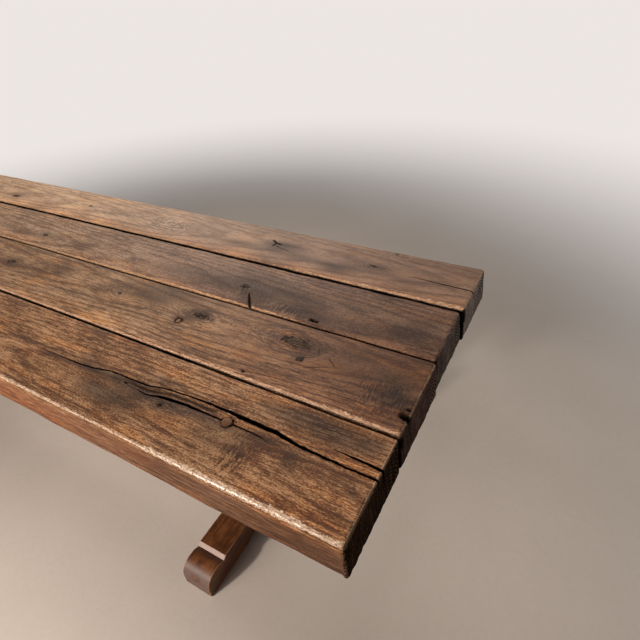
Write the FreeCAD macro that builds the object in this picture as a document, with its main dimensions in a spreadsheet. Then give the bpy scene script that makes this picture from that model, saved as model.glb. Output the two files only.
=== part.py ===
"""Trestle dining table: four thick oak planks on two trestles that a wedged stretcher holds apart.

Millimetres. The origin is on the floor under the middle of the top. X runs along the table, Y across it
from the near edge to the far edge, and Z is up.
"""
import FreeCAD, Part
import math
import os
import Sketcher

doc = FreeCAD.newDocument("trestle_table")
sheet = doc.addObject("Spreadsheet::Sheet", "Sizes")

SIZES = {
    # the top
    "top_length": 2600,
    "top_height": 780,
    "top_thick": 100,
    "plank_far_width": 213,
    "plank_mid_far_width": 208.5,
    "plank_mid_near_width": 225.5,
    "plank_near_width": 233,
    "gap_far": 7,
    "gap_mid": 4.5,
    "gap_near": 8.5,
    "mid_far_short": 5,
    "mid_near_short": 6,
    "arris_radius": 7,
    # the round pegs in the planks
    "treenail_diameter": 25,
    "treenail_from_end": 324,
    "treenail_from_edge": 124.5,
    "plug_from_end": 660,
    "plug_from_edge": 106,
    "treenail_sink": 0.5,
    # the trestles
    "overhang": 537,
    "foot_length": 852,
    "foot_width": 102,
    "foot_height": 90,
    "toe_radius": 46,
    "toe_length": 62,
    "toe_round": 30,
    "quirk_drop": 11,
    "quirk_back": 20,
    "quirk_step": 11,
    "foot_pad_length": 190,
    "foot_relief": 12,
    "post_width": 190,
    "post_thick": 84,
    "post_chamfer": 12,
    "chamfer_stop": 45,
    "bearer_length": 820,
    "bearer_width": 102,
    "bearer_height": 80,
    "bearer_nose": 40,
    # the joints of post, foot and bearer
    "tenon_width": 50,
    "tenon_thick": 30,
    "tenon_spread": 100,
    "foot_tenon_depth": 60,
    "bearer_tenon_depth": 50,
    "mortise_floor": 2,
    "peg_diameter": 14,
    "peg_proud": 3,
    "peg_chamfer": 2,
    "wood_fit": 0.1,
    "round_fit": 0.15,
    # the stretcher and its wedges
    "stretcher_height": 130,
    "stretcher_thick": 50,
    "stretcher_middle": 330,
    "stretcher_chamfer": 8,
    "tusk_height": 90,
    "tusk_thick": 36,
    "tusk_reach": 95,
    "key_thick": 18,
    "key_narrow": 22,
    "key_wide": 36,
    "key_above": 60,
    "key_below": 45,
    "key_fit": 0.2,
    "key_draw": 4,
    "key_chamfer": 4,
    # the coach screws that hold the top down
    "screw_diameter": 10,
    "screw_head": 17,
    "screw_head_height": 7,
    "screw_bite": 50,
    "screw_point": 12,
    "washer_diameter": 30,
    "washer_thick": 2.5,
    "counterbore_gap": 2,
    "counterbore_depth": 20,
}

# The splits in each plank: a depth, then stations along the split, each a distance from the right end of the
# top, a distance from the plank's near edge and the split's width there.
SPLITS = {
    "plank_near": {
        "main_split": (45, [(-2, 135, 7), (160, 138, 10), (285, 148, 13), (420, 149, 4), (700, 122, 3),
                            (870, 112, 1)]),
        "near_split": (45, [(226, 119, 1), (340, 125, 5), (465, 122, 10), (607, 114, 1)]),
        "end_split": (45, [(-2, 157, 5), (102, 159, 1)]),
    },
    "plank_mid_near": {"broken_end": (24, [(-2, 49, 26), (8, 49, 20), (16, 47, 4)])},
    "plank_mid_far": {"cross_split": (18, [(515, -3, 7), (550, 45, 6), (588, 77, 1)])},
    "plank_far": {"far_split": (30, [(-2, 90, 3), (75, 93, 2.5), (161, 97, 1)])},
}
for splits in SPLITS.values():
    for split, (depth, stations) in splits.items():
        SIZES[f"{split}_depth"] = depth
        for place, station in enumerate(stations):
            for word, value in zip(("from_end", "from_edge", "width"), station):
                SIZES[f"{split}_{place}_{word}"] = value

for row, (alias, value) in enumerate(SIZES.items(), start=1):
    sheet.set(f"A{row}", alias)
    sheet.set(f"B{row}", str(value))
    sheet.setAlias(f"B{row}", alias)
doc.recompute()


def size(text):
    """The expression with each size's name pointed at the sheet."""
    words = text.replace("(", " ( ").replace(")", " ) ").split()
    return " ".join(f"Sizes.{word}" if word in SIZES else word for word in words)


def number(text):
    """What such an expression comes to."""
    return float(sheet.evalExpression(size(text)))


def bind(thing, **values):
    """Ties properties to expressions, with a double underscore for a dot in the property's name."""
    for name, text in values.items():
        thing.setExpression(name.replace("__", "."), size(text))
    return thing


def new_body(label):
    return doc.addObject("PartDesign::Body", label)


def new_sketch(body, plane, lift="0"):
    """A sketch on one of the body's origin planes, lifted along the plane's normal."""
    sketch = body.newObject("Sketcher::SketchObject", f"{body.Name}_sketch")
    origin = next(item for item in body.Origin.OriginFeatures if item.Role == f"{plane}_Plane")
    sketch.AttachmentSupport = [(origin, "")]
    sketch.MapMode = "FlatFace"
    bind(sketch, AttachmentOffset__Base__z=lift)
    return sketch


def pin(sketch, item, end, across, up):
    """Holds one point of a sketch at two expressions."""
    for kind, text in (("DistanceX", across), ("DistanceY", up)):
        rule = sketch.addConstraint(Sketcher.Constraint(kind, -1, 1, item, end, number(text)))
        sketch.setExpression(f"Constraints[{rule}]", size(text))


def polygon(sketch, corners):
    """A closed outline of straight sides through corners given as pairs of expressions."""
    points = [FreeCAD.Vector(number(across), number(up), 0) for across, up in corners]
    first = sketch.GeometryCount
    count = len(points)
    for side in range(count):
        sketch.addGeometry(Part.LineSegment(points[side], points[(side + 1) % count]))
    for side in range(count):
        after = first + (side + 1) % count
        sketch.addConstraint(Sketcher.Constraint("Coincident", first + side, 2, after, 1))
    for side, (across, up) in enumerate(corners):
        pin(sketch, first + side, 1, across, up)


def rectangle(sketch, left, bottom, right, top):
    polygon(sketch, [(left, bottom), (right, bottom), (right, top), (left, top)])


def circle(sketch, across, up, diameter):
    centre = FreeCAD.Vector(number(across), number(up), 0)
    item = sketch.addGeometry(Part.Circle(centre, FreeCAD.Vector(0, 0, 1), number(diameter) / 2))
    pin(sketch, item, 3, across, up)
    rule = sketch.addConstraint(Sketcher.Constraint("Diameter", item, number(diameter)))
    sketch.setExpression(f"Constraints[{rule}]", size(diameter))


def pad(body, sketch, length, side="Symmetric", **more):
    feature = body.newObject("PartDesign::Pad", f"{body.Name}_pad")
    feature.Profile = sketch
    feature.SideType = side
    bind(feature, Length=length, **more)
    doc.recompute()
    return feature


def pocket(body, sketch, length, side="One side", flip=False):
    """A cut, which has to take something away."""
    before = body.Shape.Volume
    feature = body.newObject("PartDesign::Pocket", f"{body.Name}_pocket")
    feature.Profile = sketch
    feature.SideType = side
    feature.Reversed = flip
    bind(feature, Length=length)
    doc.recompute()
    if body.Shape.Volume > before - 1:
        raise RuntimeError(f"a pocket of {body.Label} cuts nothing")
    return feature


def soften(body, kind, chosen, amount):
    """A fillet or chamfer on the edges of the body that the test picks."""
    base = body.Tip
    names = [f"Edge{place}" for place, edge in enumerate(base.Shape.Edges, start=1) if chosen(edge)]
    feature = body.newObject(f"PartDesign::{kind}", f"{body.Name}_{kind.lower()}")
    feature.Base = (base, names)
    bind(feature, **{"Radius" if kind == "Fillet" else "Size": amount})
    doc.recompute()
    return feature


def near(value, target):
    return abs(value - target) < 0.01


def flat_in(edge, axis, value):
    """True where both ends of an edge have this coordinate."""
    return all(near(getattr(vertex.Point, axis), value) for vertex in edge.Vertexes)


# Where things are, as expressions
TOP_WIDTH = ("( plank_far_width + gap_far + plank_mid_far_width + gap_mid + plank_mid_near_width"
             " + gap_near + plank_near_width )")
NEAR_EDGE = f"( 0 - {TOP_WIDTH} / 2 )"
UNDERSIDE = "( top_height - top_thick )"
BEARER_BOTTOM = f"( {UNDERSIDE} - bearer_height )"
COUNTERBORE = "( washer_diameter + 2 * counterbore_gap )"
SCREW_SEAT = f"( {BEARER_BOTTOM} + counterbore_depth )"
MID_NEAR_EDGE = f"( {NEAR_EDGE} + plank_near_width + gap_near )"
MID_FAR_EDGE = f"( {MID_NEAR_EDGE} + plank_mid_near_width + gap_mid )"
FAR_PLANK_EDGE = f"( {MID_FAR_EDGE} + plank_mid_far_width + gap_far )"
# The stretch of each bearer that a screw can come up through, plank by plank
SCREW_SPANS = {
    "plank_near": ("( bearer_nose - bearer_length / 2 )", f"( {NEAR_EDGE} + plank_near_width )"),
    "plank_mid_near": (MID_NEAR_EDGE, "( 0 - post_width / 2 )"),
    "plank_mid_far": ("( post_width / 2 )", f"( {MID_FAR_EDGE} + plank_mid_far_width )"),
    "plank_far": (FAR_PLANK_EDGE, "( bearer_length / 2 - bearer_nose )"),
}
PLANK_SCREWS = {label: [f"( {start} * 3 / 4 + {end} / 4 )", f"( {start} / 4 + {end} * 3 / 4 )"]
                for label, (start, end) in SCREW_SPANS.items()}
TRESTLE = "( top_length / 2 - overhang )"
TRESTLES = {"left": f"( 0 - {TRESTLE} )", "right": TRESTLE}
PILOT = "( screw_diameter + 2 * round_fit )"
PEG_HOLE = "( peg_diameter + 2 * round_fit )"
TREENAIL_HOLE = "( treenail_diameter + 2 * round_fit )"


def plank(label, near_edge, width, right_end, left_end):
    """One plank with worn upper arrises, its splits and the pilot holes of its screws."""
    body = new_body(label)
    section = new_sketch(body, "YZ")
    rectangle(section, near_edge, UNDERSIDE, f"{near_edge} + {width}", "top_height")
    pad(body, section, right_end, "Two sides", Length2=left_end)
    top = number("top_height")
    soften(body, "Fillet", lambda edge: flat_in(edge, "z", top), "arris_radius")
    split_plank(body, near_edge)
    pilots = new_sketch(body, "XY", UNDERSIDE)
    for middle in TRESTLES.values():
        for across in PLANK_SCREWS[label]:
            circle(pilots, middle, across, PILOT)
    pocket(body, pilots, "screw_bite + screw_diameter / 5", flip=True)
    return body


def split_plank(body, near_edge):
    """Opens each of a plank's splits in its top, along one lip and back along the other."""
    for name, (depth, stations) in SPLITS[body.Label].items():
        far_lip = []
        near_lip = []
        for place in range(len(stations)):
            along = f"top_length / 2 - {name}_{place}_from_end"
            middle = f"{near_edge} + {name}_{place}_from_edge"
            far_lip.append((along, f"{middle} + {name}_{place}_width / 2"))
            near_lip.append((along, f"{middle} - {name}_{place}_width / 2"))
        outline = new_sketch(body, "XY", "top_height")
        polygon(outline, far_lip + near_lip[::-1])
        pocket(body, outline, f"{name}_depth")


def treenail(label, body, along, across):
    """A round peg right through a plank, and its hole."""
    hole = new_sketch(body, "XY", "top_height")
    circle(hole, along, across, TREENAIL_HOLE)
    pocket(body, hole, "top_thick")
    peg = doc.addObject("Part::Cylinder", label)
    bind(peg, Radius="treenail_diameter / 2", Height="top_thick - 2 * treenail_sink",
         Placement__Base__x=along, Placement__Base__y=across,
         Placement__Base__z=f"{UNDERSIDE} + treenail_sink")
    return peg


def foot(label, middle):
    """A sledge foot: rounded toes behind a quirk, a mortised top and a relieved underside."""
    body = new_body(label)
    half = "foot_length / 2"
    quirk = f"{half} - toe_length - quirk_back"
    right_half = [
        ("foot_length / 2 - foot_pad_length - foot_relief", "foot_relief"),
        ("foot_length / 2 - foot_pad_length", "0"),
        (half, "0"),
        (half, "foot_height"),
        (f"{half} - toe_length", "foot_height"),
        (quirk, "foot_height - quirk_drop"),
        (f"{quirk} - quirk_step", "foot_height"),
    ]
    left_half = [(f"0 - ( {across} )", up) for across, up in reversed(right_half)]
    profile = new_sketch(body, "YZ")
    polygon(profile, right_half + left_half)
    pad(body, profile, "foot_width")
    top = number("foot_height")
    tip = number("foot_length / 2")
    crest = number("foot_length / 2 - toe_length")

    def crosses(edge, reach):
        ends = [vertex.Point for vertex in edge.Vertexes]
        return all(near(abs(end.y), reach) and near(end.z, top) for end in ends)

    soften(body, "Fillet", lambda edge: crosses(edge, tip), "toe_radius")
    soften(body, "Fillet", lambda edge: crosses(edge, crest), "toe_round")
    mortises(body, "foot_height", "foot_tenon_depth", flip=False)
    peg_holes(body, "foot_height - foot_tenon_depth / 2", "foot_width")
    bind(body, Placement__Base__x=middle)
    return body


def bearer(label, middle):
    """A bearer with rounded lower ends, mortised below and bored for the coach screws."""
    body = new_body(label)
    profile = new_sketch(body, "YZ")
    rectangle(profile, "0 - bearer_length / 2", BEARER_BOTTOM, "bearer_length / 2", UNDERSIDE)
    pad(body, profile, "bearer_width")
    bottom = number(BEARER_BOTTOM)
    end = number("bearer_length / 2")

    def lower_end(edge):
        return flat_in(edge, "z", bottom) and all(near(abs(v.Point.y), end) for v in edge.Vertexes)

    soften(body, "Fillet", lower_end, "bearer_nose")
    mortises(body, BEARER_BOTTOM, "bearer_tenon_depth", flip=True)
    peg_holes(body, f"{BEARER_BOTTOM} + bearer_tenon_depth / 2", "bearer_width")
    for diameter, depth in ((COUNTERBORE, "counterbore_depth"), (PILOT, "bearer_height")):
        bores = new_sketch(body, "XY", BEARER_BOTTOM)
        for across in sum(PLANK_SCREWS.values(), []):
            circle(bores, "0", across, diameter)
        pocket(body, bores, depth, flip=True)
    bind(body, Placement__Base__x=middle)
    return body


def mortises(body, level, depth, flip):
    """The pair of mortises for a post's twin tenons."""
    outline = new_sketch(body, "XY", level)
    for sign in ("0 -", "0 +"):
        centre = f"( {sign} tenon_spread / 2 )"
        rectangle(outline, "0 - tenon_thick / 2 - wood_fit", f"{centre} - tenon_width / 2 - wood_fit",
                  "tenon_thick / 2 + wood_fit", f"{centre} + tenon_width / 2 + wood_fit")
    pocket(body, outline, f"{depth} + mortise_floor", flip=flip)


def peg_holes(body, level, length):
    """A hole for a drawbore peg through each of the twin tenons."""
    holes = new_sketch(body, "YZ")
    for sign in ("0 -", "0 +"):
        circle(holes, f"{sign} tenon_spread / 2", level, PEG_HOLE)
    pocket(body, holes, length, "Symmetric")


def post(label, middle):
    """A post with twin tenons at both ends, stopped chamfers and the stretcher's mortise."""
    body = new_body(label)
    front = new_sketch(body, "YZ")
    rectangle(front, "0 - post_width / 2", "foot_height", "post_width / 2", BEARER_BOTTOM)
    pad(body, front, "post_thick")
    ends = (("foot_height - foot_tenon_depth", "foot_height"),
            (BEARER_BOTTOM, f"{BEARER_BOTTOM} + bearer_tenon_depth"))
    for low, high in ends:
        tenons = new_sketch(body, "YZ")
        for sign in ("0 -", "0 +"):
            centre = f"( {sign} tenon_spread / 2 )"
            rectangle(tenons, f"{centre} - tenon_width / 2", low, f"{centre} + tenon_width / 2", high)
        pad(body, tenons, "tenon_thick")
    peg_holes(body, "foot_height - foot_tenon_depth / 2", "tenon_thick")
    peg_holes(body, f"{BEARER_BOTTOM} + bearer_tenon_depth / 2", "tenon_thick")
    mortise = new_sketch(body, "YZ")
    rectangle(mortise, "0 - tusk_thick / 2 - wood_fit", "stretcher_middle - tusk_height / 2 - wood_fit",
              "tusk_thick / 2 + wood_fit", "stretcher_middle + tusk_height / 2 + wood_fit")
    pocket(body, mortise, "post_thick", "Symmetric")
    chamfers = new_sketch(body, "XY", f"( foot_height + {BEARER_BOTTOM} ) / 2")
    for x_sign in ("0 -", "0 +"):
        for y_sign in ("0 -", "0 +"):
            corner = (f"( {x_sign} post_thick / 2 )", f"( {y_sign} post_width / 2 )")
            inwards = f"( {x_sign} ( post_thick / 2 - post_chamfer ) )"
            along = f"( {y_sign} ( post_width / 2 - post_chamfer ) )"
            polygon(chamfers, [corner, (inwards, corner[1]), (corner[0], along)])
    pocket(body, chamfers, f"{BEARER_BOTTOM} - foot_height - 2 * chamfer_stop", "Symmetric")
    bind(body, Placement__Base__x=middle)
    return body


KEY_SEAT = f"( {TRESTLE} + post_thick / 2 )"
KEY_TOP = "( stretcher_middle + tusk_height / 2 + key_above )"
KEY_BOTTOM = "( stretcher_middle - tusk_height / 2 - key_below )"
KEY_SLOPE = f"( ( key_wide - key_narrow ) / ( {KEY_TOP} - {KEY_BOTTOM} ) )"


def key_face(level):
    """How far the wedge's sloping face stands out from the post at a height."""
    return f"( key_fit + key_narrow + {KEY_SLOPE} * ( {level} - {KEY_BOTTOM} ) )"


def stretcher(label):
    """The long rail, with a through tenon at each end and a slot in it for the wedge."""
    body = new_body(label)
    shoulder = f"( {TRESTLE} - post_thick / 2 )"
    rail = new_sketch(body, "YZ")
    rectangle(rail, "0 - stretcher_thick / 2", "stretcher_middle - stretcher_height / 2",
              "stretcher_thick / 2", "stretcher_middle + stretcher_height / 2")
    pad(body, rail, f"2 * {shoulder}")
    low = number("stretcher_middle - stretcher_height / 2")
    high = number("stretcher_middle + stretcher_height / 2")
    reach = number(shoulder)

    def long_arris(edge):
        runs = near(edge.Length, 2 * reach)
        return runs and (flat_in(edge, "z", low) or flat_in(edge, "z", high))

    soften(body, "Chamfer", long_arris, "stretcher_chamfer")
    tusk = new_sketch(body, "YZ")
    rectangle(tusk, "0 - tusk_thick / 2", "stretcher_middle - tusk_height / 2",
              "tusk_thick / 2", "stretcher_middle + tusk_height / 2")
    pad(body, tusk, f"2 * ( {KEY_SEAT} + tusk_reach )")
    slots = new_sketch(body, "XZ")
    low_edge = "stretcher_middle - tusk_height / 2"
    high_edge = "stretcher_middle + tusk_height / 2"
    for sign in ("0 -", "0 +"):
        polygon(slots, [
            (f"{sign} ( {KEY_SEAT} - key_draw )", low_edge),
            (f"{sign} ( {KEY_SEAT} + {key_face(low_edge)} + key_fit )", low_edge),
            (f"{sign} ( {KEY_SEAT} + {key_face(high_edge)} + key_fit )", high_edge),
            (f"{sign} ( {KEY_SEAT} - key_draw )", high_edge),
        ])
    pocket(body, slots, "key_thick + 2 * key_fit", "Symmetric")
    return body


def key_wedge(label, sign):
    """A loose wedge, narrow at the bottom, that draws the stretcher's shoulder up to the post."""
    body = new_body(label)
    side = new_sketch(body, "XZ")
    polygon(side, [
        (f"{sign} ( {KEY_SEAT} + key_fit )", KEY_BOTTOM),
        (f"{sign} ( {KEY_SEAT} + {key_face(KEY_BOTTOM)} )", KEY_BOTTOM),
        (f"{sign} ( {KEY_SEAT} + {key_face(KEY_TOP)} )", KEY_TOP),
        (f"{sign} ( {KEY_SEAT} + key_fit )", KEY_TOP),
    ])
    pad(body, side, "key_thick")
    top = number(KEY_TOP)
    bottom = number(KEY_BOTTOM)
    soften(body, "Chamfer", lambda edge: flat_in(edge, "z", top) or flat_in(edge, "z", bottom), "key_chamfer")
    return body


def group(label, members):
    """Identical fasteners as one node of separate solids."""
    bundle = doc.addObject("Part::Compound", label)
    bundle.Links = members
    return bundle


def drawbore_pegs(label, middle, level, width):
    """Two pegs across a joint, with chamfered ends that stand a little proud of the wood."""
    members = []
    for name, sign in (("near", "0 -"), ("far", "0 +")):
        rod = doc.addObject("Part::Cylinder", f"{label}_{name}_rod")
        bind(rod, Radius="peg_diameter / 2", Height=f"{width} + 2 * peg_proud",
             Placement__Base__x=f"{middle} - {width} / 2 - peg_proud",
             Placement__Base__y=f"{sign} tenon_spread / 2", Placement__Base__z=level)
        rod.Placement.Rotation = FreeCAD.Rotation(FreeCAD.Vector(0, 1, 0), 90)
        doc.recompute()
        peg = doc.addObject("Part::Chamfer", f"{label}_{name}")
        peg.Base = rod
        chamfer = number("peg_chamfer")
        rims = [place for place, edge in enumerate(rod.Shape.Edges, start=1) if edge.isClosed()]
        peg.Edges = [(place, chamfer, chamfer) for place in rims]
        members.append(peg)
    return group(label, members)


def coach_screws(label, middle):
    """Hexagon-headed wood screws up through the bearer, two into each plank."""
    members = []
    shank_length = f"( {UNDERSIDE} - {SCREW_SEAT} + washer_thick + screw_bite - screw_point )"
    head_bottom = f"( {SCREW_SEAT} - washer_thick - screw_head_height )"
    for place, across in enumerate(sum(PLANK_SCREWS.values(), []), start=1):
        name = f"{label}_{place}"
        where = {"Placement__Base__x": middle, "Placement__Base__y": across}
        head = doc.addObject("Part::Prism", f"{name}_head")
        head.Polygon = 6
        bind(head, Circumradius=f"screw_head / {math.sqrt(3)}", Height="screw_head_height",
             Placement__Base__z=head_bottom, **where)
        shank = doc.addObject("Part::Cylinder", f"{name}_shank")
        bind(shank, Radius="screw_diameter / 2", Height=shank_length,
             Placement__Base__z=f"{head_bottom} + screw_head_height", **where)
        point = doc.addObject("Part::Cone", f"{name}_point")
        bind(point, Radius1="screw_diameter / 2", Radius2="screw_diameter / 10", Height="screw_point",
             Placement__Base__z=f"{head_bottom} + screw_head_height + {shank_length}", **where)
        screw = doc.addObject("Part::MultiFuse", name)
        screw.Shapes = [head, shank, point]
        members.append(screw)
    return group(label, members)


def washers(label, middle):
    """A flat washer in each counterbore."""
    members = []
    for place, across in enumerate(sum(PLANK_SCREWS.values(), []), start=1):
        name = f"{label}_{place}"
        rings = []
        for word, radius in (("disc", "washer_diameter / 2"), ("bore", f"{PILOT} / 2")):
            ring = doc.addObject("Part::Cylinder", f"{name}_{word}")
            bind(ring, Radius=radius, Height="washer_thick", Placement__Base__x=middle,
                 Placement__Base__y=across, Placement__Base__z=f"{SCREW_SEAT} - washer_thick")
            rings.append(ring)
        washer = doc.addObject("Part::Cut", name)
        washer.Base, washer.Tool = rings
        members.append(washer)
    return group(label, members)


# The top
HALF = "top_length / 2"
near_plank = plank("plank_near", NEAR_EDGE, "plank_near_width", HALF, HALF)
mid_near_plank = plank("plank_mid_near", MID_NEAR_EDGE, "plank_mid_near_width", HALF,
                       f"{HALF} - mid_near_short")
mid_far_plank = plank("plank_mid_far", MID_FAR_EDGE, "plank_mid_far_width", f"{HALF} - mid_far_short", HALF)
far_plank = plank("plank_far", FAR_PLANK_EDGE, "plank_far_width", HALF, HALF)
parts = [
    near_plank,
    mid_near_plank,
    mid_far_plank,
    far_plank,
    treenail("treenail_near", near_plank, f"{HALF} - treenail_from_end", f"{NEAR_EDGE} + treenail_from_edge"),
    treenail("plug_mid_near", mid_near_plank, f"{HALF} - plug_from_end", f"{MID_NEAR_EDGE} + plug_from_edge"),
]

# The trestles and what holds them together
for hand, middle in TRESTLES.items():
    parts.append(foot(f"{hand}_foot", middle))
    parts.append(post(f"{hand}_post", middle))
    parts.append(bearer(f"{hand}_bearer", middle))
    parts.append(drawbore_pegs(f"{hand}_foot_pegs", middle, "foot_height - foot_tenon_depth / 2",
                               "foot_width"))
    parts.append(drawbore_pegs(f"{hand}_bearer_pegs", middle, f"{BEARER_BOTTOM} + bearer_tenon_depth / 2",
                               "bearer_width"))
    parts.append(coach_screws(f"{hand}_coach_screws", middle))
    parts.append(washers(f"{hand}_washers", middle))
    parts.append(key_wedge(f"{hand}_key_wedge", "0 -" if hand == "left" else "0 +"))
parts.append(stretcher("stretcher"))
doc.recompute()

for item in doc.Objects:
    if "Invalid" in item.State or "Error" in item.State:
        raise RuntimeError(f"{item.Label} failed: {item.State}")
for part in parts:
    if part.Shape.isNull() or not part.Shape.isValid():
        raise RuntimeError(f"{part.Label} has no valid shape")

os.makedirs("parts", exist_ok=True)
for part in parts:
    part.Shape.exportStep(f"parts/{part.Label}.step")
    print(f"{part.Label}: {len(part.Shape.Solids)} solids, {part.Shape.Volume / 1000:.1f} cm3")
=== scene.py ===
# %% [markdown]
# # A trestle dining table in old oak
# Four thick planks, reclaimed and gap-jointed, lie on two trestles that a wedged stretcher holds apart.
# The construction model is already packed as a frame of named nodes. This lesson dresses that frame: each
# node keeps its place and size, and gets the worn edges, splits, knots and finish of the real table.

# %% Load the frame
import math
from collections import namedtuple

import bmesh
import bpy
from mathutils import Matrix, Vector, noise


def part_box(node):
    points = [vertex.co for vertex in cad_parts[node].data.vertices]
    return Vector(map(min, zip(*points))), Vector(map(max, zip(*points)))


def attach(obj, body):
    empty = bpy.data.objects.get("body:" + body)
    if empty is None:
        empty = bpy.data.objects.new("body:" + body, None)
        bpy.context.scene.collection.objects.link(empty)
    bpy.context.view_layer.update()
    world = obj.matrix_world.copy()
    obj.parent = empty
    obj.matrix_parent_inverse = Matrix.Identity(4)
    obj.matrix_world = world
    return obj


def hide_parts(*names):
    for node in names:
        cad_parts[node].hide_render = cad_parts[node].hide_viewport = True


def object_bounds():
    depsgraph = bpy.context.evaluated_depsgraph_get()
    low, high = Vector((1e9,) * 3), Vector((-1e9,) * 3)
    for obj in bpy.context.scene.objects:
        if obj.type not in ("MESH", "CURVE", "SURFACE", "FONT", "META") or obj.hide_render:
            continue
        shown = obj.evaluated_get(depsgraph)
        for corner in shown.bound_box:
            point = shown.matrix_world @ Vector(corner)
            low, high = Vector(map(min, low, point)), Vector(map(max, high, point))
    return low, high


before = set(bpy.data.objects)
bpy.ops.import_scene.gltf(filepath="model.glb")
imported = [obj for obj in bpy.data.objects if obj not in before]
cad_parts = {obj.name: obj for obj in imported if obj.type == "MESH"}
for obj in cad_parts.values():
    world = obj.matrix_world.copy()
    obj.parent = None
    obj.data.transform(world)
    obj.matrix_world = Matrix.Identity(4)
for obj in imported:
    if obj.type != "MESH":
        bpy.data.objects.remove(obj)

MM = 0.001
CAD_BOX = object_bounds()
TOP_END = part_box("plank_near")[1].x
TOP_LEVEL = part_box("plank_near")[1].z
scene = bpy.context.scene
print(f"{len(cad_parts)} nodes, right end of the top at {TOP_END:.3f} m, top at {TOP_LEVEL:.3f} m")

# %% [markdown]
# ## The camera
# The view is from standing height at the near right corner, looking down and along the planks. A camera can
# be aimed with a Track To constraint, but here the three directions of the picture are known from the
# table's own edges, so they are written as the columns of the camera's matrix.

# %% Camera
VIEW_PLACE = Vector((1.4905, -0.7638, 1.5076))
VIEW_RIGHT = Vector((0.87377, 0.48161, -0.0676))
VIEW_UP = Vector((-0.24573, 0.55715, 0.79322))
FOCAL_PIXELS = 470.0
PICTURE_PIXELS = 640.0
SENSOR_WIDTH = 36.0

view_back = VIEW_RIGHT.cross(VIEW_UP)
camera_data = bpy.data.cameras.new("table_camera")
camera_data.sensor_fit = "HORIZONTAL"
camera_data.sensor_width = SENSOR_WIDTH
camera_data.lens = FOCAL_PIXELS / PICTURE_PIXELS * SENSOR_WIDTH
camera_data.clip_end = 100.0
camera = bpy.data.objects.new("table_camera", camera_data)
turn = Matrix((VIEW_RIGHT, VIEW_UP, view_back)).transposed()
camera.matrix_world = Matrix.Translation(VIEW_PLACE) @ turn.to_4x4()
scene.collection.objects.link(camera)
scene.camera = camera
print(f"lens {camera_data.lens:.2f} mm, looking along {(-view_back).to_tuple(3)}")

# %% [markdown]
# ## Writing shaders as sums
# A wood finish is mostly arithmetic on noise, and dozens of Math nodes are hard to read as separate
# statements. One small class wraps a socket so that plus, minus, times, divide and power add the Math node.
# A second holds a node tree, and its node method adds any other node: the settings go in first, because some
# of them change which sockets there are. A third is the node tree of a material, with short names for the
# few nodes that every finish needs.

# %% Socket maths
def arithmetic(operation, reflected=False):
    """A method that adds one Math node; reflected, it takes its two sockets the other way round."""
    def method(self, other):
        first, second = (other, self) if reflected else (self, other)
        return self.finish.node("ShaderNodeMath", {"operation": operation}, {0: first, 1: second})
    return method


class Wire:
    """An output socket on which Python's arithmetic adds Math nodes."""

    def __init__(self, finish, socket):
        self.finish = finish
        self.socket = socket

    __add__ = arithmetic("ADD")
    __radd__ = arithmetic("ADD", reflected=True)
    __sub__ = arithmetic("SUBTRACT")
    __rsub__ = arithmetic("SUBTRACT", reflected=True)
    __mul__ = arithmetic("MULTIPLY")
    __rmul__ = arithmetic("MULTIPLY", reflected=True)
    __truediv__ = arithmetic("DIVIDE")
    __rtruediv__ = arithmetic("DIVIDE", reflected=True)
    __pow__ = arithmetic("POWER")


print("socket maths ready")


# %% Node trees
class Shading:
    """A node tree under construction."""

    def __init__(self, tree, shader):
        self.tree = tree
        self.shader = tree.nodes[shader]

    def feed(self, socket, value):
        """Link a wire to a socket, or set the socket to a fixed value."""
        if isinstance(value, Wire):
            self.tree.links.new(value.socket, socket)
        else:
            socket.default_value = value

    def node(self, kind, settings=None, values=None, out=0):
        """Add one node: its settings, then the values or links of its sockets; gives one output."""
        made = self.tree.nodes.new(kind)
        for setting, value in (settings or {}).items():
            if setting == "stops":
                ramp = made.color_ramp.elements
                while len(ramp) < len(value):
                    ramp.new(1.0)
                for stop, (place, colour) in zip(ramp, value):
                    stop.position = place
                    stop.color = (*colour, 1.0)
            else:
                setattr(made, setting, value)
        for socket, value in (values or {}).items():
            self.feed(made.inputs[socket], value)
        return Wire(self, made.outputs[out])

    def wear(self, **sockets):
        """Connect or set the shader's own sockets; underscores stand for the spaces in their names."""
        for name, value in sockets.items():
            self.feed(self.shader.inputs[name.replace("_", " ")], value)

    def in_view(self):
        """1 for the rays of the camera, of mirrors and of glass; 0 for the light that falls on things."""
        rays = self.node("ShaderNodeLightPath").socket.node.outputs
        kinds = ("Camera", "Glossy", "Transmission")
        camera, mirror, glass = [Wire(self, rays[f"Is {kind} Ray"]) for kind in kinds]
        settings = {"operation": "ADD", "use_clamp": True}
        return self.node("ShaderNodeMath", settings, {0: camera + mirror, 1: glass})


print("node trees ready")


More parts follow.
